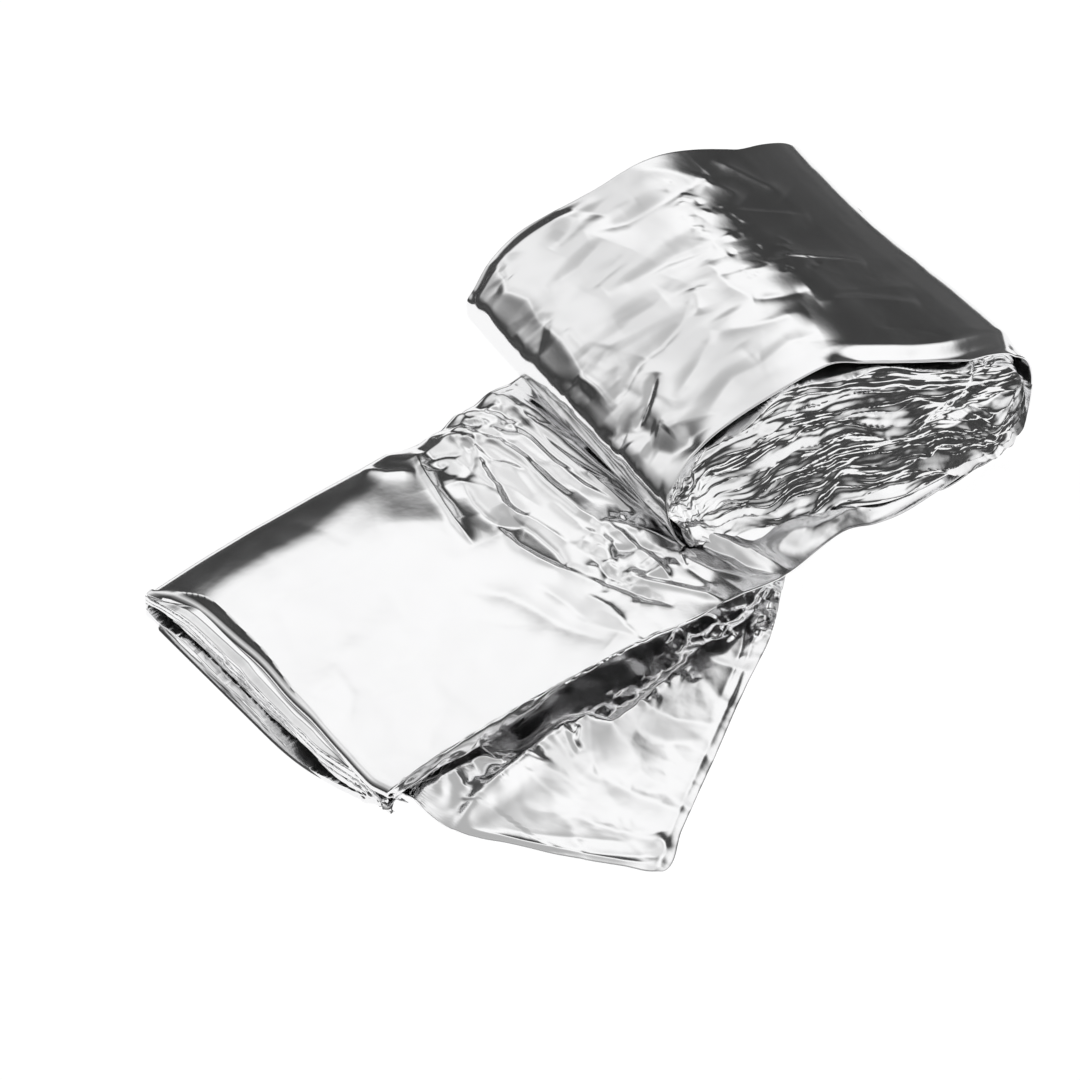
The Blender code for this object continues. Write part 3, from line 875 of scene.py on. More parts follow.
def strip_swell(spot):
    """Height of the strip's swell, which starts with a lip at the left and ends at the back band."""
    x, y = spot.x, spot.y
    past = np.maximum(y - read_table(BAND_START, x) - waves(x, y, BAND_WAVES), 0)
    down = np.minimum(past, BAND_EASING) ** 2 / (2 * BAND_EASING) + np.maximum(past - BAND_EASING, 0)
    swell = SWELL_HEIGHT * ramp(y, *SWELL_RISE_Y) - BAND_SLOPE * down - BAND_CURVE * down**2
    swell = swell * (1 - ramp(x, *SWELL_FADE_X))
    lip = np.maximum(SWELL_LIP * swell, LEAST_LIP)
    risen = np.clip((x - STRIP_START - left_edge(spot.t)) / lip, 0, 1)
    return np.maximum(swell, 0) * risen + np.minimum(swell, 0)


def strip_top(spot):
    """Height of all that shows on the strip's top, from the left end to the roll."""
    x, y = spot.x, spot.y
    crumple_share = CRUMPLE_PLAIN + CRUMPLE_FOLDED * ramp(x, *FOLDED_RISE_X)
    small = crumples(x, y, STRIP_CRUMPLES) * crumple_share + wrinkled(x, y, STRIP_WRINKLES)
    back_lip = -BACK_LIP_DROP * np.exp(-(1 - spot.t) * STRIP_WIDTH / BACK_LIP_REACH)
    past_fall = np.maximum(0, y - BACK_FALL_START)
    back_fall = -BACK_FALL_CURVE * past_fall**2 * within(x, *BACK_FALL_SPAN)
    past_edge = np.maximum(0, y - (BACK_EDGE_START + waves(x, y, BACK_EDGE_WAVES)))
    back_edge = -BACK_EDGE_SLOPE * past_edge * within(x, *BACK_EDGE_SPAN)
    up_to_roll = np.clip(x - ROLL_SLOPE_START, 0, ROLL_SLOPE_LENGTH) * ROLL_SLOPE
    up_to_roll = up_to_roll * ramp(y, *ROLL_SLOPE_RISE_Y) * (1 - ramp(x, *ROLL_SLOPE_FADE_X))
    return (
        waves(x, y, STRIP_WAVES)
        + small
        + hand_placed(x, y, STRIP_CREASES)
        + strewn(x, y, STRIP_SCATTERS)
        + strip_swell(spot)
        + back_lip
        + back_fall
        + back_edge
        + up_to_roll
    )


def strip_relief(spot):
    """The strip's top, the hem under the roll, and the front lip that hangs down."""
    x, y = spot.x, spot.y
    facing_up = np.clip(spot.up, 0, 1)
    under_roll = ramp(x, *UNDER_ROLL_X)
    foot = HEM_FOOT + HEM_FOOT_RIGHT * ramp(x, *HEM_FOOT_X)
    hem = (HEM_HEIGHT + crumples(x, y, HEM_CRUMPLES)) * ramp(y, foot, HEM_TOP)
    hem = hem * ramp(x, *HEM_RISE_X) * facing_up
    front_lip = ramp(spot.t, *LIP_SHARES) * (1 - ramp(x, *LIP_FADE_X)) * ramp(spot.up, *LIP_LEVEL)
    hang = LIP_HANG + waves(x, x * 0, LIP_WAVES)
    hang = hang * (1 - LIP_SHORTER * ramp(x, *LIP_SHORTER_X))
    lift = strip_top(spot) * (1 - under_roll) * facing_up + hem
    lift = lift - front_lip * hang * (1 - spot.side)
    lip_folds = front_lip * np.abs(spot.out) * crumples(x, spot.side, LIP_FOLDS)
    return lift, lip_folds


def make_strip_film():
    """The strip's top layer, which folds under at its left end and runs on under the roll."""
    places = sheet_ring(np.linspace(0, 1, 186), 1, 0.035, 9)
    t = places.t
    edge = left_edge(t)
    plain = [
        one._replace(x=one.x + edge * ramp(24 - one.x, 0, 20))
        for one in strip_layer(STRIP_START, 68, t, 3)
    ]
    drop = INNER_DROP + INNER_BACK_DROP * ramp(t, *INNER_BACK_SHARES)
    inner = [one._replace(z=one.z - drop) for one in plain[3::-1]]
    end = turned(inner, plain, 1.0, -1, 5)
    # Each stretch has the spacing of its grid lines.
    stretches = (
        (inner, 1.5),
        (end, 0.3),
        (plain[:2], 0.3),
        (plain[2:], 0.8),
        (strip_layer(72, 130, t), 0.42),
        (strip_layer(134, 201, t), 0.9),
    )
    points, spot = folded_film(stretches, places, FILM_HALF, STRIP_OFFSET, strip_relief)
    return film_object("strip_film", points, spot)


# ---------------------------------------------------------------- the wrap round the roll
WRAP_OFFSET = -0.8
WRAP_SPACINGS = (1.6, 0.8, 0.5, 0.6, 1.2)  # of the grid lines, in each layer
WRAP_TOP_LEVEL = (0.1, 0.7)  # how level the film is where the top's creases start and are in full
WRAP_WAVES = (Wave(0.40, 26, 28, 23),)
WRAP_WRINKLES = (Wrinkles(0.6, 8, 34, 7.0, 21), Wrinkles(0.12, -12, 20, 3.6, 22))
WRAP_SIDE_WRINKLES = (Wrinkles(0.35, 88, 40, 6.0, 26), Wrinkles(0.06, 84, 14, 2.4, 27))
WRAP_SCATTERS = (
    Scatter(40, (170, 190), (60, 108), 20, 60, 4, 0.18, 0.8, 52),
    Scatter(26, (172, 203), (22, 110), -20, 12, 34, 0.13, 1.8, 53),
    Scatter(26, (116, 130), (34, 120), 80, 24, 12, 0.35, 1.6, 54),
)
# The top's right part is calmer than its left: where it starts, and the wrinkles' share there.
CALM_RISE_X = (160, 178)
CALM_SHARE = 0.14
# The top is rolled over along its front at the right, and along its back at the left.
FRONT_RIM_DROP = 2.6
FRONT_RIM_WIDTH = 5.5
FRONT_RIM_Y = (29.0, 17.5)
FRONT_RIM_X = (160, 203)
FRONT_RIM_RISE_X = (164, 176)
BACK_RIM_DROP = 1.2
BACK_RIM_SHARES = (0.95, 1.0)
BACK_RIM_FADE_X = (150, 170)
# Under the roll's right end the front edge is lifted a little.
LIFT_HEIGHT = 3.0
LIFT_RISE_Y = (10.5, 16)
LIFT_LEVEL = (0.4, 1)
LIFT_RISE_X = (178, 190)


def wrap_relief(spot):
    """The wrap's wrinkles and creases, and its rims along the front and the back."""
    x, y = spot.x, spot.y
    on_top = ramp(-spot.up, *WRAP_TOP_LEVEL)
    wrinkle_share = CALM_SHARE + (1 - CALM_SHARE) * (1 - ramp(x, *CALM_RISE_X))
    soft = wrinkled(x, y, WRAP_WRINKLES) * wrinkle_share
    front = blended(*FRONT_RIM_Y, ramp(x, *FRONT_RIM_X))
    front_rim = -FRONT_RIM_DROP * (1 - ramp(y, front, front + FRONT_RIM_WIDTH))
    front_rim = front_rim * ramp(x, *FRONT_RIM_RISE_X)
    back_rim = -BACK_RIM_DROP * ramp(spot.t, *BACK_RIM_SHARES) * (1 - ramp(x, *BACK_RIM_FADE_X))
    over = (
        waves(x, y, WRAP_WAVES)
        + soft
        + hand_placed(x, y, ROLL_CREASES)
        + strewn(x, y, WRAP_SCATTERS)
        + front_rim
        + back_rim
    )
    round_sides = wrinkled(spot.s, y, WRAP_SIDE_WRINKLES) * (1 - on_top)
    lifted = LIFT_HEIGHT * ramp(y, *LIFT_RISE_Y) * ramp(spot.up, *LIFT_LEVEL)
    lifted = lifted * ramp(x, *LIFT_RISE_X)
    return -on_top * over - round_sides + lifted, 0 * x


def wrap_layers(t):
    """The wrap's layers: under the roll, round its right, over it, round its left, and in."""
    start = [
        one._replace(y_front=one.y_front + 4 * (1 - ramp(one.x, 182, 194)))
        for one in strip_layer(182, ROLL_RIGHT_X, t)
    ]
    over = roll_layer(ROLL_TOP, ROLL_RIGHT_X, ROLL_LEFT_X, t)
    below = roll_layer(ROLL_BASE, ROLL_LEFT_X, 168, t)
    right = turned(start, over, RIGHT_FOLD_BULGE, 1, 19, 0.6)
    left = turned(over, below, ROLL_LEFT_BULGE, -1, 9)
    return [[skewed(one, t) for one in part] for part in (start, right, over, left, below)]


def make_wrap_film():
    """The roll's outer turn."""
    places = sheet_ring(np.linspace(0, 1, 190), -1)
    stretches = tuple(zip(wrap_layers(places.t), WRAP_SPACINGS))
    points, spot = folded_film(stretches, places, FILM_HALF, WRAP_OFFSET, wrap_relief)
    return film_object("wrap_film", points, spot)


# ---------------------------------------------------------------- the roll's open side
# Pleats of folded edges: how many there are in the height, how far they stand out, how long one
# stays the same, the share of each that is its lip's underside, and how far they stand
# everywhere and in patches.
Pleats = namedtuple("Pleats", "count height length lip steady patchy")
EDGE_PLEATS = (
    Pleats(6, 2.7, 18, 0.13, 1, 0),
    Pleats(14, 1.0, 11, 0.2, 0.08, 1.1),
    Pleats(38, 0.22, 7, 0.35, 0.08, 1.1),
)
# A hollow among the folded edges: its place along them and up them, its reaches and its depth.
Hollow = namedtuple("Hollow", "x v reach_x reach_v depth")
EDGE_HOLLOWS = (
    Hollow(205, 0.60, 8, 0.20, 4.0),
    Hollow(194, 0.40, 9, 0.10, 3.6),
    Hollow(180, 0.36, 6, 0.07, 1.6),
    Hollow(150, 0.60, 9, 0.05, 2.0),
    Hollow(168, 0.46, 6, 0.05, 1.6),
    Hollow(128, 0.45, 5, 0.18, 2.6),
    Hollow(134, 0.22, 6, 0.10, 2.2),
)
# The gap under the wrap's front edge: its height at places along x.
EDGE_GAP = (
    (119, 1.0), (125, 4.4), (134, 4.6), (144, 3.2), (154, 1.9), (164, 1.8), (178, 2.4),
    (198, 2.4), (208, 1.6), (220, 1.2),
)
GAP_WAVES = (Wave(0.4, 9, 1, 9),)
GAP_EDGE = 0.012
GAP_DEPTH = 26.0
WRAP_CLEARANCE = 0.8
EDGE_RECESS = 2.4
EDGE_SAG = 0.5  # how far the folds hang down, as a share of how far they stand out
TOP_EDGE_START = 0.955
TOP_EDGE_DROP = 2.8
TOP_EDGE_IN = 2.2
ROUND_END_X = 197  # the middle of the roll's round right end
ROUND_END_HEIGHT = 30
FULL_ROOM = 22  # the height inside the wrap at which the folds stand out in full
ROUND_END_RISE_X = (201, 209)
KNOT_FADE_X = (119, 129)  # the knot at the left, where all the turns are gathered
EDGE_DRIFT = (Wave(0.10, 30, 1 / 2.6, 0), Wave(0.022, 10, 1 / 6, 1))
EDGE_FACETS = (Crumple(1.3, 0.32, 34, 7.0, 4), Crumple(0.35, 0.4, 36, 3.4, 8))
KNOT_CRUMPLES = (Crumple(1.8, 1, 14, 3.0, 6),)
EDGE_BELLY = 1.4
SPOKE_HEIGHT = 1.1
LEAN = 0.34  # how far the upper part leans out, as a share of the room
LEAN_START = 0.68
LEAN_RISE_X = (152, 172)
ROUND_END_LEAN = 0.2
ROUND_END_MIDDLE = 0.35
FRONT_SEED = 31
BACK_SEED = 71
# Grid lines up the folded edges lie closer together in the gap: places in the count, and up them.
EDGE_CLOSER = ((0, 0.72, 0.94, 1), (0, 0.84, 0.95, 1))
EDGE_GRID_LENGTH = 290
FRONT_GRID_HEIGHT = 256
BACK_GRID_HEIGHT = 76


def pleats(u, v, seed, reach):
    """Folded edges that lie side by side, one a unit of v, and pinch and part along u."""
    v = v + 0.75 * lattice_noise(u / 16, v * 0.6, seed) + 0.3 * lattice_noise(u / 5, v, seed + 1)
    number = np.floor(v)
    standing = 0.5 + 0.5 * lattice_noise(u / reach, number * 3.7 + seed, seed + 2)
    return np.abs(np.sin(np.pi * v)) ** 0.6 * (0.15 + 0.85 * standing)


def pleated(x, v, rows, drift, seed):
    """How far film that is folded into pleats stands out, with its pleats stacked up v."""
    flow = v + drift
    patches = ramp(lattice_noise(x / 15, v * rows[0].count * 0.6, seed + 5), -0.5, 0.5)
    total = 0
    for k, row in enumerate(rows):
        lane = flow * row.count
        number = np.floor(lane)
        w = lane - number
        under = ramp(w, 0, row.lip)
        over = np.clip((1 - w) / (1 - row.lip), 0, 1)
        facets = facet_noise(x / row.length, number * 3.7 + seed, seed + 10 + k)
        pleat = np.where(w < row.lip, under, over) * (0.1 + 0.9 * ramp(facets, -0.45, 0.45))
        total += row.height * pleat * (row.steady + row.patchy * patches)
    return total


def hollowed(x, v, hollows):
    """How far the folded edges are pressed in by the hollows among them."""
    return sum(
        row.depth * near(x, row.x, row.reach_x) * near(v, row.v, row.reach_v) for row in hollows
    )


def folds_out(x, v, room, seed):
    """How far the folded edges of the turns stand out of the roll's end."""
    drift = waves(x, v, EDGE_DRIFT, seed)
    at_round_end = ramp(x, *ROUND_END_RISE_X)
    folds = pleated(x, v, EDGE_PLEATS, drift, seed) * (1 - 0.5 * at_round_end)
    facets = crumples(x, v, EDGE_FACETS, seed) + EDGE_BELLY * np.sin(np.pi * v)
    up, along = (v - 0.5) * ROUND_END_HEIGHT, x - ROUND_END_X
    spokes = pleats(np.hypot(up, along), np.arctan2(up, along) * 5, seed + 20, 5.0)
    gathered = (1 - ramp(x, *KNOT_FADE_X)) * crumples(x, v, KNOT_CRUMPLES, seed)
    total = folds + facets + SPOKE_HEIGHT * at_round_end * spokes + gathered
    total = total - hollowed(x, v, EDGE_HOLLOWS)
    leaning = ramp(x, *LEAN_RISE_X) * (1 - at_round_end) * np.clip(v - LEAN_START, 0, 1)
    total = total + LEAN * room * leaning
    total = total - ROUND_END_LEAN * at_round_end * room * (v - ROUND_END_MIDDLE)
    gap = read_table(EDGE_GAP, x[:, :1]) * (1 + waves(x, v * 0, GAP_WAVES, seed))
    below_gap = 1 - v - gap / room
    total = total - GAP_DEPTH * ramp(below_gap, GAP_EDGE, -GAP_EDGE)
    return total * np.clip(room / FULL_ROOM, 0, 1) ** 0.7


def room_inside(t_edge):
    """Lowest and highest places inside the wrap, as two rows of x and z, at one of its edges."""
    _, right, over, left, below = wrap_layers(np.array([t_edge]))
    low = left[4:] + below + right[:10]
    high = (right[9:] + over + left[:5])[::-1]
    return [np.array([(one.x[0], one.z[0]) for one in part]).T for part in (low, high)]


def edge_face(t_edge, column, outward, count, seed):
    """Grid of points of the folded edges at the front or the back of the roll, from its base up."""
    low, high = room_inside(t_edge)
    left_x, right_x = low[0, 0], low[0, -1]
    middle, half = (left_x + right_x) / 2, (right_x - left_x) / 2
    turn = np.linspace(0, math.pi, EDGE_GRID_LENGTH)
    share = 0.5 * (-np.cos(turn)) + 0.5 * np.linspace(-1, 1, EDGE_GRID_LENGTH)
    x = middle + share * (half - WRAP_CLEARANCE)
    z_low = np.interp(middle + share * half, *low) + WRAP_CLEARANCE * (1 - share**8)
    z_high = np.interp(middle + share * half, *high) - WRAP_CLEARANCE * (1 - share**8)
    v = np.interp(np.linspace(0, 1, count), *EDGE_CLOSER)[None, :]
    room = (z_high - z_low)[:, None]
    within_roll = np.clip(x, ROLL_LEFT_X, ROLL_RIGHT_X)
    base, top = (
        np.array([read_row(table, column, at) for at in within_roll])[:, None]
        for table in (ROLL_BASE, ROLL_TOP)
    )
    out = folds_out(x[:, None] + 0 * v, v + 0 * room, room, seed) * ramp(v, 0, 0.06)
    y = blended(base, top, v) + outward * (out - EDGE_RECESS * ramp(v, 0, 0.12) - 0.5)
    # The topmost part is drawn in and down, clear of the wrap.
    inside = ramp(v, TOP_EDGE_START, 1.0)
    sag = EDGE_SAG * np.maximum(out, 0) * (1 - v**6)
    z = z_low[:, None] + room * v - sag - TOP_EDGE_DROP * inside
    drawn_in = x - TOP_EDGE_IN * np.sign(share) * share**8
    x = drawn_in[:, None] * inside + x[:, None] * (1 - inside)
    return np.stack([x, y, z], axis=-1)


def plain_spot(along, points):
    """The spot of a face that isn't folded along a section."""
    flat = 0 * along
    return Spot(along - along[0, 0], *np.moveaxis(points, -1, 0), flat, flat, flat, flat)


def make_edge_folds():
    """The folded edges of the turns, pressed together at the front and the back of the roll."""
    front = edge_face(0.0, "y_front", -1, FRONT_GRID_HEIGHT, FRONT_SEED)
    back = edge_face(1.0, "y_back", 1, BACK_GRID_HEIGHT, BACK_SEED)
    over = [blended(front[:, -1], back[:, -1], share) for share in (0.1, 0.35, 0.65, 0.9)]
    points = np.concatenate([front, np.stack(over, axis=1), back[:, ::-1]], axis=1)
    return film_object("edge_folds", points, plain_spot(points[..., 0], points))


# ---------------------------------------------------------------- the bottom sheet and its corner
BOTTOM_OFFSET = 0.6
FLAP_CREST_RIDGE = Crease(FLAP_CREST, 5.6, 2.2, 11.0)
FLAP_LEVEL = 0.12
FLAP_WAVES = (Wave(0.34, 18, 18, 43),)
FLAP_CRUMPLES = (Crumple(0.11, 1, 1, 10, 41),)
FLAP_CREASE_SHARE = 0.45
FLAP_FADE_Y = (12, 20)
LOWEST_FLAP = -0.1
CREST_SHORTER = 0.75
CREST_SHORTER_X = (36, 124)
# The gathered rise of the flap's left end, beside the strip's front corner.
LEFT_RISE = 5.0
LEFT_RISE_CRUMPLES = (Crumple(1.0, 1, 1, 9.0, 44),)
LEFT_RISE_WAVES = (Wave(0.5, 5, 7, 45),)
LEFT_RISE_Y = (-10, 9)
LEFT_RISE_SPAN = ((7, 15), (34, 50))
FLAP_SCATTERS = (
    Scatter(46, (14, 115), (-44, 0), -60, 60, 18, 0.10, 2.4, 61),
    Scatter(56, (26, 98), (-4, 5), -60, 40, 9, 0.5, 1.0, 62),
    Scatter(80, (100, 138), (-4, 18), -70, 50, 8, 0.8, 0.9, 63),
)


def flap_relief(spot):
    """The bottom sheet's creases, its crest beside the strip and the gathered rise at its left."""
    x, y = spot.x, spot.y
    broad = FLAP_LEVEL + waves(x, y, FLAP_WAVES) + crumples(x, y, FLAP_CRUMPLES)
    placed = FLAP_CREASE_SHARE * hand_placed(x, y, FLAP_CREASES)
    crest = crease_height(x, y, FLAP_CREST_RIDGE)
    crest = crest * (1 - CREST_SHORTER * ramp(x, *CREST_SHORTER_X))
    rise = LEFT_RISE + crumples(x, y, LEFT_RISE_CRUMPLES) + waves(x, y, LEFT_RISE_WAVES)
    rise = rise * ramp(y, *LEFT_RISE_Y) * within(x, *LEFT_RISE_SPAN)
    height = broad + placed + crest + strewn(x, y, FLAP_SCATTERS) + rise
    in_front_of_strip = 1 - ramp(y, *FLAP_FADE_Y)
    sheet = in_front_of_strip * np.maximum(height, LOWEST_FLAP)
    return -sheet * np.clip(-spot.up, 0, 1), 0 * x


def flap_shares(count):
    """Shares of the width, most of them in the part that lies in front of the strip."""
    even = np.linspace(0, 1, count)
    return np.where(even < 0.8, even * 0.55, 0.44 + (even - 0.8) * 2.8)


def make_bottom_film():
    """The bottom sheet, with its corner fanned out to the front and its left end turned up."""
    places = sheet_ring(flap_shares(170), -1)
    t = places.t
    bottom = bottom_layer(t)
    inner = [one._replace(z=one.z + 0.8) for one in bottom[:-4:-1]]
    end = turned(bottom, inner, 1.0, -1, 5)
    stretches = ((bottom, 0.6), (end, 0.3), (inner, 1.5))
    stretches = tuple(([drawn_back(one, t) for one in part], step) for part, step in stretches)
    points, spot = folded_film(stretches, places, FILM_HALF, BOTTOM_OFFSET, flap_relief)
    return film_object("bottom_film", points, spot)


# ---------------------------------------------------------------- the left end's leaves
# Where the lowest and the highest leaf end: x at shares of the width.
LOWEST_CREST = ((0, 10.5), (0.05, 8.0), (0.16, 4.4), (0.25, 2.6), (0.45, 2.0), (0.75, 1.9), (1, 1.2))
HIGHEST_CREST = ((0, 6.8), (0.05, 6.0), (0.25, 5.6), (0.5, 6.2), (0.75, 6.0), (0.9, 4.4), (1, 1.2))

# A slot between two leaves at the left end: heights of its middle and of its half at places t.
Slot = namedtuple("Slot", "middle half depth")
END_SLOTS = (
    Slot(
        ((0, 0.9), (0.3, 0.88), (0.5, 0.84), (0.7, 0.82), (0.86, 0.86), (1, 0.98)),
        (
            (0, 0.004), (0.2, 0.012), (0.4, 0.02), (0.55, 0.006), (0.7, 0.02), (0.9, 0.012),
            (1, 0.01),
        ),
        4.0,
    ),
    Slot(
        ((0, 0.45), (0.3, 0.52), (0.5, 0.56), (0.7, 0.50), (1, 0.62)),
        ((0, 0.03), (0.2, 0.012), (0.5, 0.02), (0.8, 0.012), (1, 0.01)),
        4.0,
    ),
    Slot(
        ((0, 0.28), (0.15, 0.24), (0.3, 0.27), (0.5, 0.30), (0.8, 0.28), (0.93, 0.42), (1, 0.45)),
        (
            (0, 0.02), (0.1, 0.04), (0.2, 0.07), (0.25, 0.20), (0.31, 0.22), (0.37, 0.10),
            (0.45, 0.04), (0.6, 0.025), (0.8, 0.04), (0.88, 0.12), (0.94, 0.24), (1, 0.1),
        ),
        13.0,
    ),
    Slot(
        ((0, 0.7), (0.3, 0.72), (0.5, 0.68), (0.75, 0.62), (1, 0.8)),
        ((0, 0.03), (0.25, 0.02), (0.4, 0.004), (0.6, 0.02), (0.8, 0.002), (1, 0.01)),
        3.0,
    ),
)
SLOT_EDGE = 0.014
SLOT_DRIFT = 0.035
END_BOTTOM = 1.5
END_TOP = 11.0
END_FRONT_Y = 8.2
END_BACK_Y = 100.0
END_CRUMPLES = (Crumple(0.32, 0.4, 12, 5.0, 93),)
END_PLEATS = 9
END_PLEAT_HEIGHT = 0.08
KNOT_FADE = (0.02, 0.16)
END_KNOT = (Crumple(0.9, 1, 10, 2.4, 94),)
# A step back in the left end's face: its share of the way, and where up the face it lies.
Step = namedtuple("Step", "share low high")
END_STEPS = (Step(0.45, 0.24, 0.31), Step(0.55, 0.93, 1.0))


def slotted(t, v):
    """How far the left end's face is drawn in by the slots between its leaves."""
    total = 0 * (t + v)
    for k, slot in enumerate(END_SLOTS):
        drift = SLOT_DRIFT * lattice_noise(t * 11, t * 0 + k * 2.9, 95)
        middle = read_table(slot.middle, t) + drift
        half = read_table(slot.half, t) * (1 + 0.3 * lattice_noise(t * 17, t * 0 + k * 1.7, 96))
        inside = ramp(np.abs(v - middle), half + SLOT_EDGE, np.maximum(half - SLOT_EDGE, 0))
        total = np.maximum(total, slot.depth * inside)
    return total


def make_end_folds():
    """The left end's leaves as they show, pressed together from the bottom sheet to the strip."""
    t = np.linspace(0, 1, 280)[:, None]
    v = np.linspace(0, 1, 150)[None, :]
    y = blended(END_FRONT_Y, END_BACK_Y, t) + 0 * v
    fine = crumples(y, v, END_CRUMPLES) + END_PLEAT_HEIGHT * pleats(y, v * END_PLEATS, 97, 12.0)
    knot = (1 - ramp(t, *KNOT_FADE)) * crumples(y, v, END_KNOT)
    stair = sum(step.share * ramp(v, step.low, step.high) for step in END_STEPS)
    out = (fine - slotted(t, v)) * ramp(t, 0, 0.05) * (1 - ramp(t, 0.97, 1.0)) + knot
    x = blended(read_table(LOWEST_CREST, t), read_table(HIGHEST_CREST, t), stair) - out
    top = END_TOP - 2.4 * near(t, 0, 0.06) + 1.4 * ramp(t, 0.35, 0.78) - 3.6 * ramp(t, 0.82, 1.0)
    z = blended(END_BOTTOM + 0 * t, top, v) + 0 * out
    face = np.stack([x, y, z], axis=-1)
    inward = np.array([1.0, 0, 0]) * (0.05 + 0.95 * ramp(t, 0, 0.15) * ramp(1 - t, 0, 0.06))
    below = [face[:, 0] + far * inward for far in (24, 12, 5, 1.5)]
    above = [face[:, -1] + far * inward for far in (1.5, 4, 8)]
    points = np.concatenate([np.stack(below, axis=1), face, np.stack(above, axis=1)], axis=1)
    return film_object("end_folds", points, plain_spot(points[..., 1], points))


# A gap between two leaves inside the left end: the lower leaf, its middle, its reach, its width.
Opening = namedtuple("Opening", "leaf middle reach width")
OPENINGS = (
    Opening(5, 0.66, 0.26, 4.5),
    Opening(4, 0.97, 0.10, 4.0),
    Opening(3, 0.90, 0.10, 1.4),
    Opening(2, 0.70, 0.14, 1.0),
    Opening(1, 0.32, 0.13, 5.0),
    Opening(0, 0.62, 0.20, 2.2),
)
LEAVES = 6
LEAF_DEPTHS = (52, 44, 56, 40, 58, 48)
LEAF_SETBACK = 7.5
LEAF_HALF = 0.12
LEAF_WIDTH = 92
LEAF_LIP_REACH = 9
LEAF_LIP_CRUMPLES = (Crumple(1.3, 1, 0.35, 6.0, 85),)
LEAF_FINE_CRUMPLES = (Crumple(0.5, 1, 1, 2.6, 86),)
LEAF_LONG_CRUMPLES = (Crumple(0.22, 1, 0.5, 7.0, 87),)
LEAF_LIP_CALMER = 0.7
LEAF_LIP_CALMER_X = (26, 50)
LEAF_END_FADE_X = (12, 30)
LEAF_PLACES = (0, 0.6, 1.6, 3.5, 6.5, 10, 16, 24, 34)  # of stations, from a leaf's crest inwards


def leaf_heights(t):
    """Heights of the leaves' lower and upper arms, which fill the left end at every t."""
    steps = []
    for leaf in range(LEAVES):
        thick = 0.75 + 0.5 * lattice_noise(t * 5, t * 0 + leaf * 3.1, 81)
        gap = 0.25 + 0.2 * lattice_noise(t * 6, t * 0 + leaf * 2.3, 82)
        for opening in OPENINGS:
            if opening.leaf == leaf:
                gap = gap + opening.width * near(t, opening.middle, opening.reach)
        steps += [np.maximum(thick, 0.3), np.maximum(gap, 0.08)]
    heights = np.cumsum([0 * t] + steps, axis=0)
    low = 1.9 + 0 * t
    high = 11.0 - 2.0 * near(t, 0, 0.1) - 3.0 * ramp(t, 0.78, 1.0)
    return low + (high - low) * heights[:-1] / heights[-1]


def leaf_relief(spot):
    """Crumples along the leaves' front lips and at their left ends."""
    s, x, y = spot.s, spot.x, spot.y
    front = np.exp(-spot.t * LEAF_WIDTH / LEAF_LIP_REACH)
    lip = crumples(x, s, LEAF_LIP_CRUMPLES) + crumples(s, y, LEAF_FINE_CRUMPLES)
    lip = front * lip * (1 - LEAF_LIP_CALMER * ramp(x, *LEAF_LIP_CALMER_X))
    end = crumples(y, s, LEAF_LONG_CRUMPLES) * (1 - ramp(x, *LEAF_END_FADE_X))
    return lip + end, 0 * s


def leaf_arm(leaf, z, slant, t):
    """Stations of one side of a leaf, from its crest at the left end inwards."""
    height = leaf / (LEAVES - 1)
    crest = blended(read_table(LOWEST_CREST, t), read_table(HIGHEST_CREST, t), height) + LEAF_SETBACK
    crest = crest + 1.1 * lattice_noise(t * 7, t * 0 + leaf * 5.3, 83) * ramp(t, 0.0, 0.1)
    y_front = blended(11.0, 8.6, height) + 0 * t
    stations = []
    for far in LEAF_PLACES + (LEAF_DEPTHS[leaf],):
        front = y_front + 11 * ramp(crest + far, 24, 42)
        stations.append(Station(crest + 0.6 + far, z + 0.02 * far * slant, front, 97 + 0 * t))
    return stations


def make_inner_folds():
    """The leaves between the bottom sheet and the strip, as one film folded to and fro."""
    places = sheet_ring(np.linspace(0, 1, 110), 1, 0.03, 4)
    t = places.t
    heights = leaf_heights(t)
    stretches = []
    for leaf in range(LEAVES):
        lower = leaf_arm(leaf, heights[2 * leaf], 0.5, t)[::-1]
        upper = leaf_arm(leaf, heights[2 * leaf + 1], -0.5, t)
        if stretches:
            stretches.append((turned(last, lower, 1.0, 1, 3), 1.0))
        stretches.append((lower[:-4], 1.4))
        stretches.append((lower[-4:] + turned(lower, upper, 1.0, -1, 5) + upper[:4], 0.32))
        stretches.append((upper[4:], 1.4))
        last = upper
    points, spot = folded_film(tuple(stretches), places, LEAF_HALF, 0.0, leaf_relief)
    return film_object("inner_folds", points, spot)


# ---------------------------------------------------------------- the stage
FLOOR_SIZE = 0.9
FLOOR_DROP = -0.0003
CAMERA_LENS = 150.0
CAMERA_TARGET = Vector((0.097, 0.0607, 0.0))  # in the drawing, in metres
CAMERA_DISTANCE = 1.16
CAMERA_AZIMUTH = math.radians(-38.3)
CAMERA_ELEVATION = math.radians(45.0)


def make_floor():
    """The floor, a hair under the blanket."""
    cut = bmesh.new()
    bmesh.ops.create_grid(cut, x_segments=1, y_segments=1, size=FLOOR_SIZE / 2)
    bmesh.ops.translate(cut, vec=(0, 0, FLOOR_DROP), verts=cut.verts)
    mesh = bpy.data.meshes.new("floor")
    cut.to_mesh(mesh)
    cut.free()
    floor = bpy.data.objects.new("floor", mesh)
    mesh.materials.append(floor_material())
    bpy.context.scene.collection.objects.link(floor)


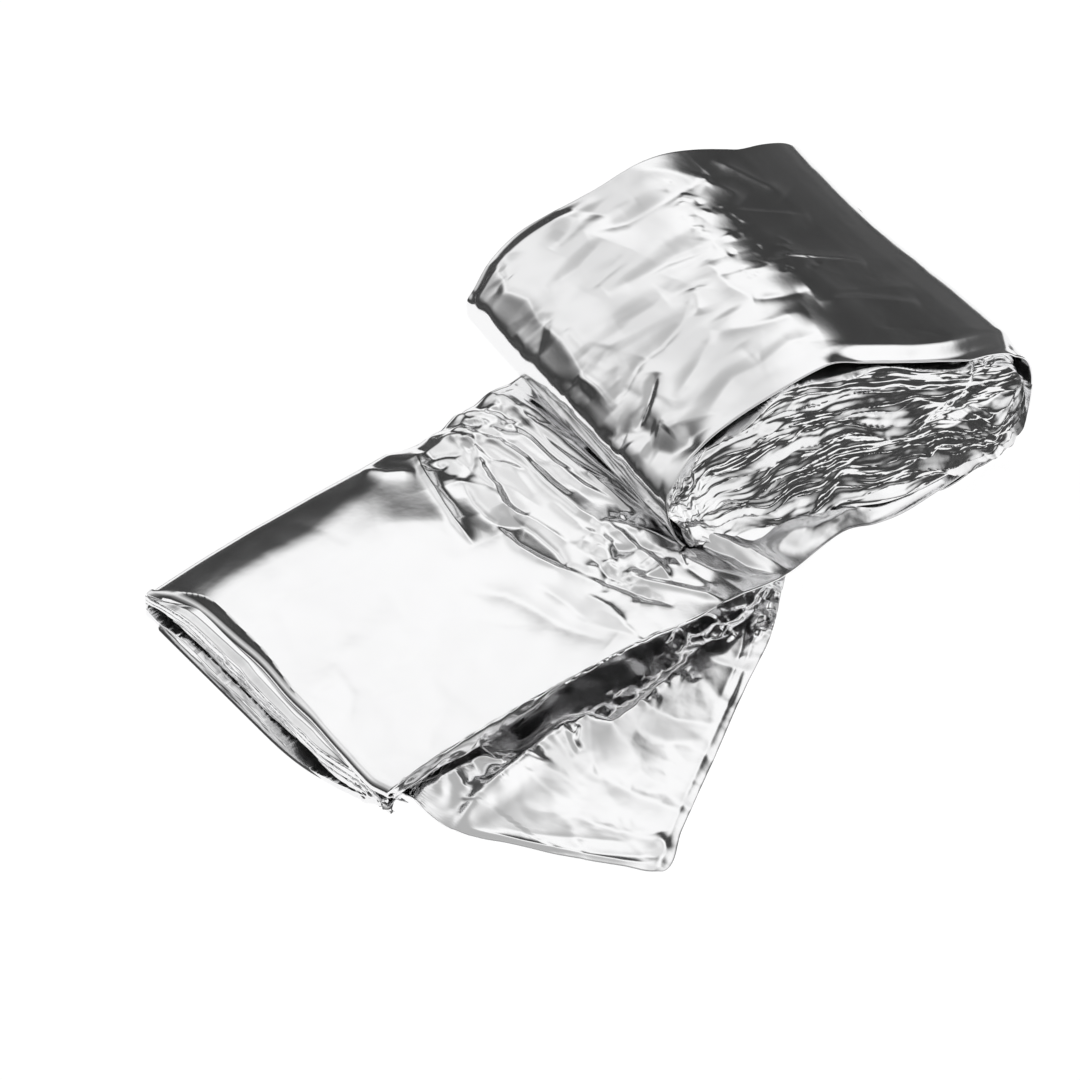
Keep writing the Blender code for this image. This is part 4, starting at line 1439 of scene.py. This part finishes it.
def make_camera():
    """A long lens, looking down at the blanket from its front left."""
    data = bpy.data.cameras.new("camera")
    data.lens = CAMERA_LENS
    data.clip_start = 0.01
    camera = bpy.data.objects.new("camera", data)
    bpy.context.scene.collection.objects.link(camera)
    back = Vector(
        (
            math.sin(CAMERA_AZIMUTH) * math.cos(CAMERA_ELEVATION),
            -math.cos(CAMERA_AZIMUTH) * math.cos(CAMERA_ELEVATION),
            math.sin(CAMERA_ELEVATION),
        )
    )
    camera.location = CAMERA_TARGET + DRAWING_ZERO + back * CAMERA_DISTANCE
    camera.rotation_euler = back.to_track_quat("Z", "Y").to_euler()
    bpy.context.scene.camera = camera


LOW_LIGHT = 0.045  # what the film mirrors below the tent's hem
TENT_HEM = (0.36, 0.63)


def make_world():
    """A bright soft tent above a dark low band, which the film mirrors."""
    world = bpy.data.worlds.new("tent")
    world.use_nodes = True
    bpy.context.scene.world = world
    nodes = Nodes(world.node_tree)
    way = nodes.node("ShaderNodeTexCoord", output="Generated")
    x, y, z = (nodes.node("ShaderNodeSeparateXYZ", {}, (way,), axis) for axis in "XYZ")
    # The tent hangs lower to the left and to the front right, and higher to the back right.
    left_side = nodes.smooth(x, -0.74, -0.12)
    lift = z - x * 0.2 * nodes.smooth(y, -0.3, 0.2) * left_side + y * 0.08
    tent = nodes.smooth(lift, *TENT_HEM)
    right_side = 1 - nodes.smooth(x, 0.50, 0.70) * nodes.smooth(y, -0.25, 0.1)
    front = 1 - nodes.smooth(y * -1, 0.70, 0.95) * 0.3
    seam = 1 - nodes.near(x, 0.12, 0.14) * nodes.smooth(y, 0.3, 0.5) * 0.16
    overhead = 1 - nodes.smooth(z, 0.80, 0.99) * 0.52
    rear = tent * right_side * (0.14 + left_side * 0.78 + nodes.smooth(x, 0.1, 0.4) * 0.12)
    low = LOW_LIGHT + nodes.smooth(x, 0.74, 0.92) * 0.04 + nodes.near(z, 0.17, 0.05) * 0.03
    light = rear * front * seam * overhead + low
    seen = nodes.node("ShaderNodeLightPath", output="Is Camera Ray")
    mirrored = nodes.node("ShaderNodeBackground", {}, {"Color": light, "Strength": 1.0})
    behind = nodes.node("ShaderNodeBackground", {}, {"Color": WHITE, "Strength": 1.0})
    mixed = nodes.node("ShaderNodeMixShader", {}, (seen, mirrored, behind))
    nodes.node("ShaderNodeOutputWorld", {}, {"Surface": mixed})


# ---------------------------------------------------------------- the blanket
# How a piece of film is made, its flat size in metres and how it is held.
Piece = namedtuple("Piece", "make flat held")
PIECES = (
    Piece(make_strip_film, (0.105, 0.215), "laid"),
    Piece(make_wrap_film, (0.11, 0.24), "folded"),
    Piece(make_edge_folds, (0.1, 0.21), "folded"),
    Piece(make_bottom_film, (0.12, 0.155), "laid"),
    Piece(make_inner_folds, (0.1, 0.6), "folded"),
    Piece(make_end_folds, (0.1, 0.06), "folded"),
)

bpy.context.scene.view_settings.view_transform = "Standard"
film = film_material()
for piece in PIECES:
    declare(piece.make(), film)
make_floor()
make_world()
make_camera()
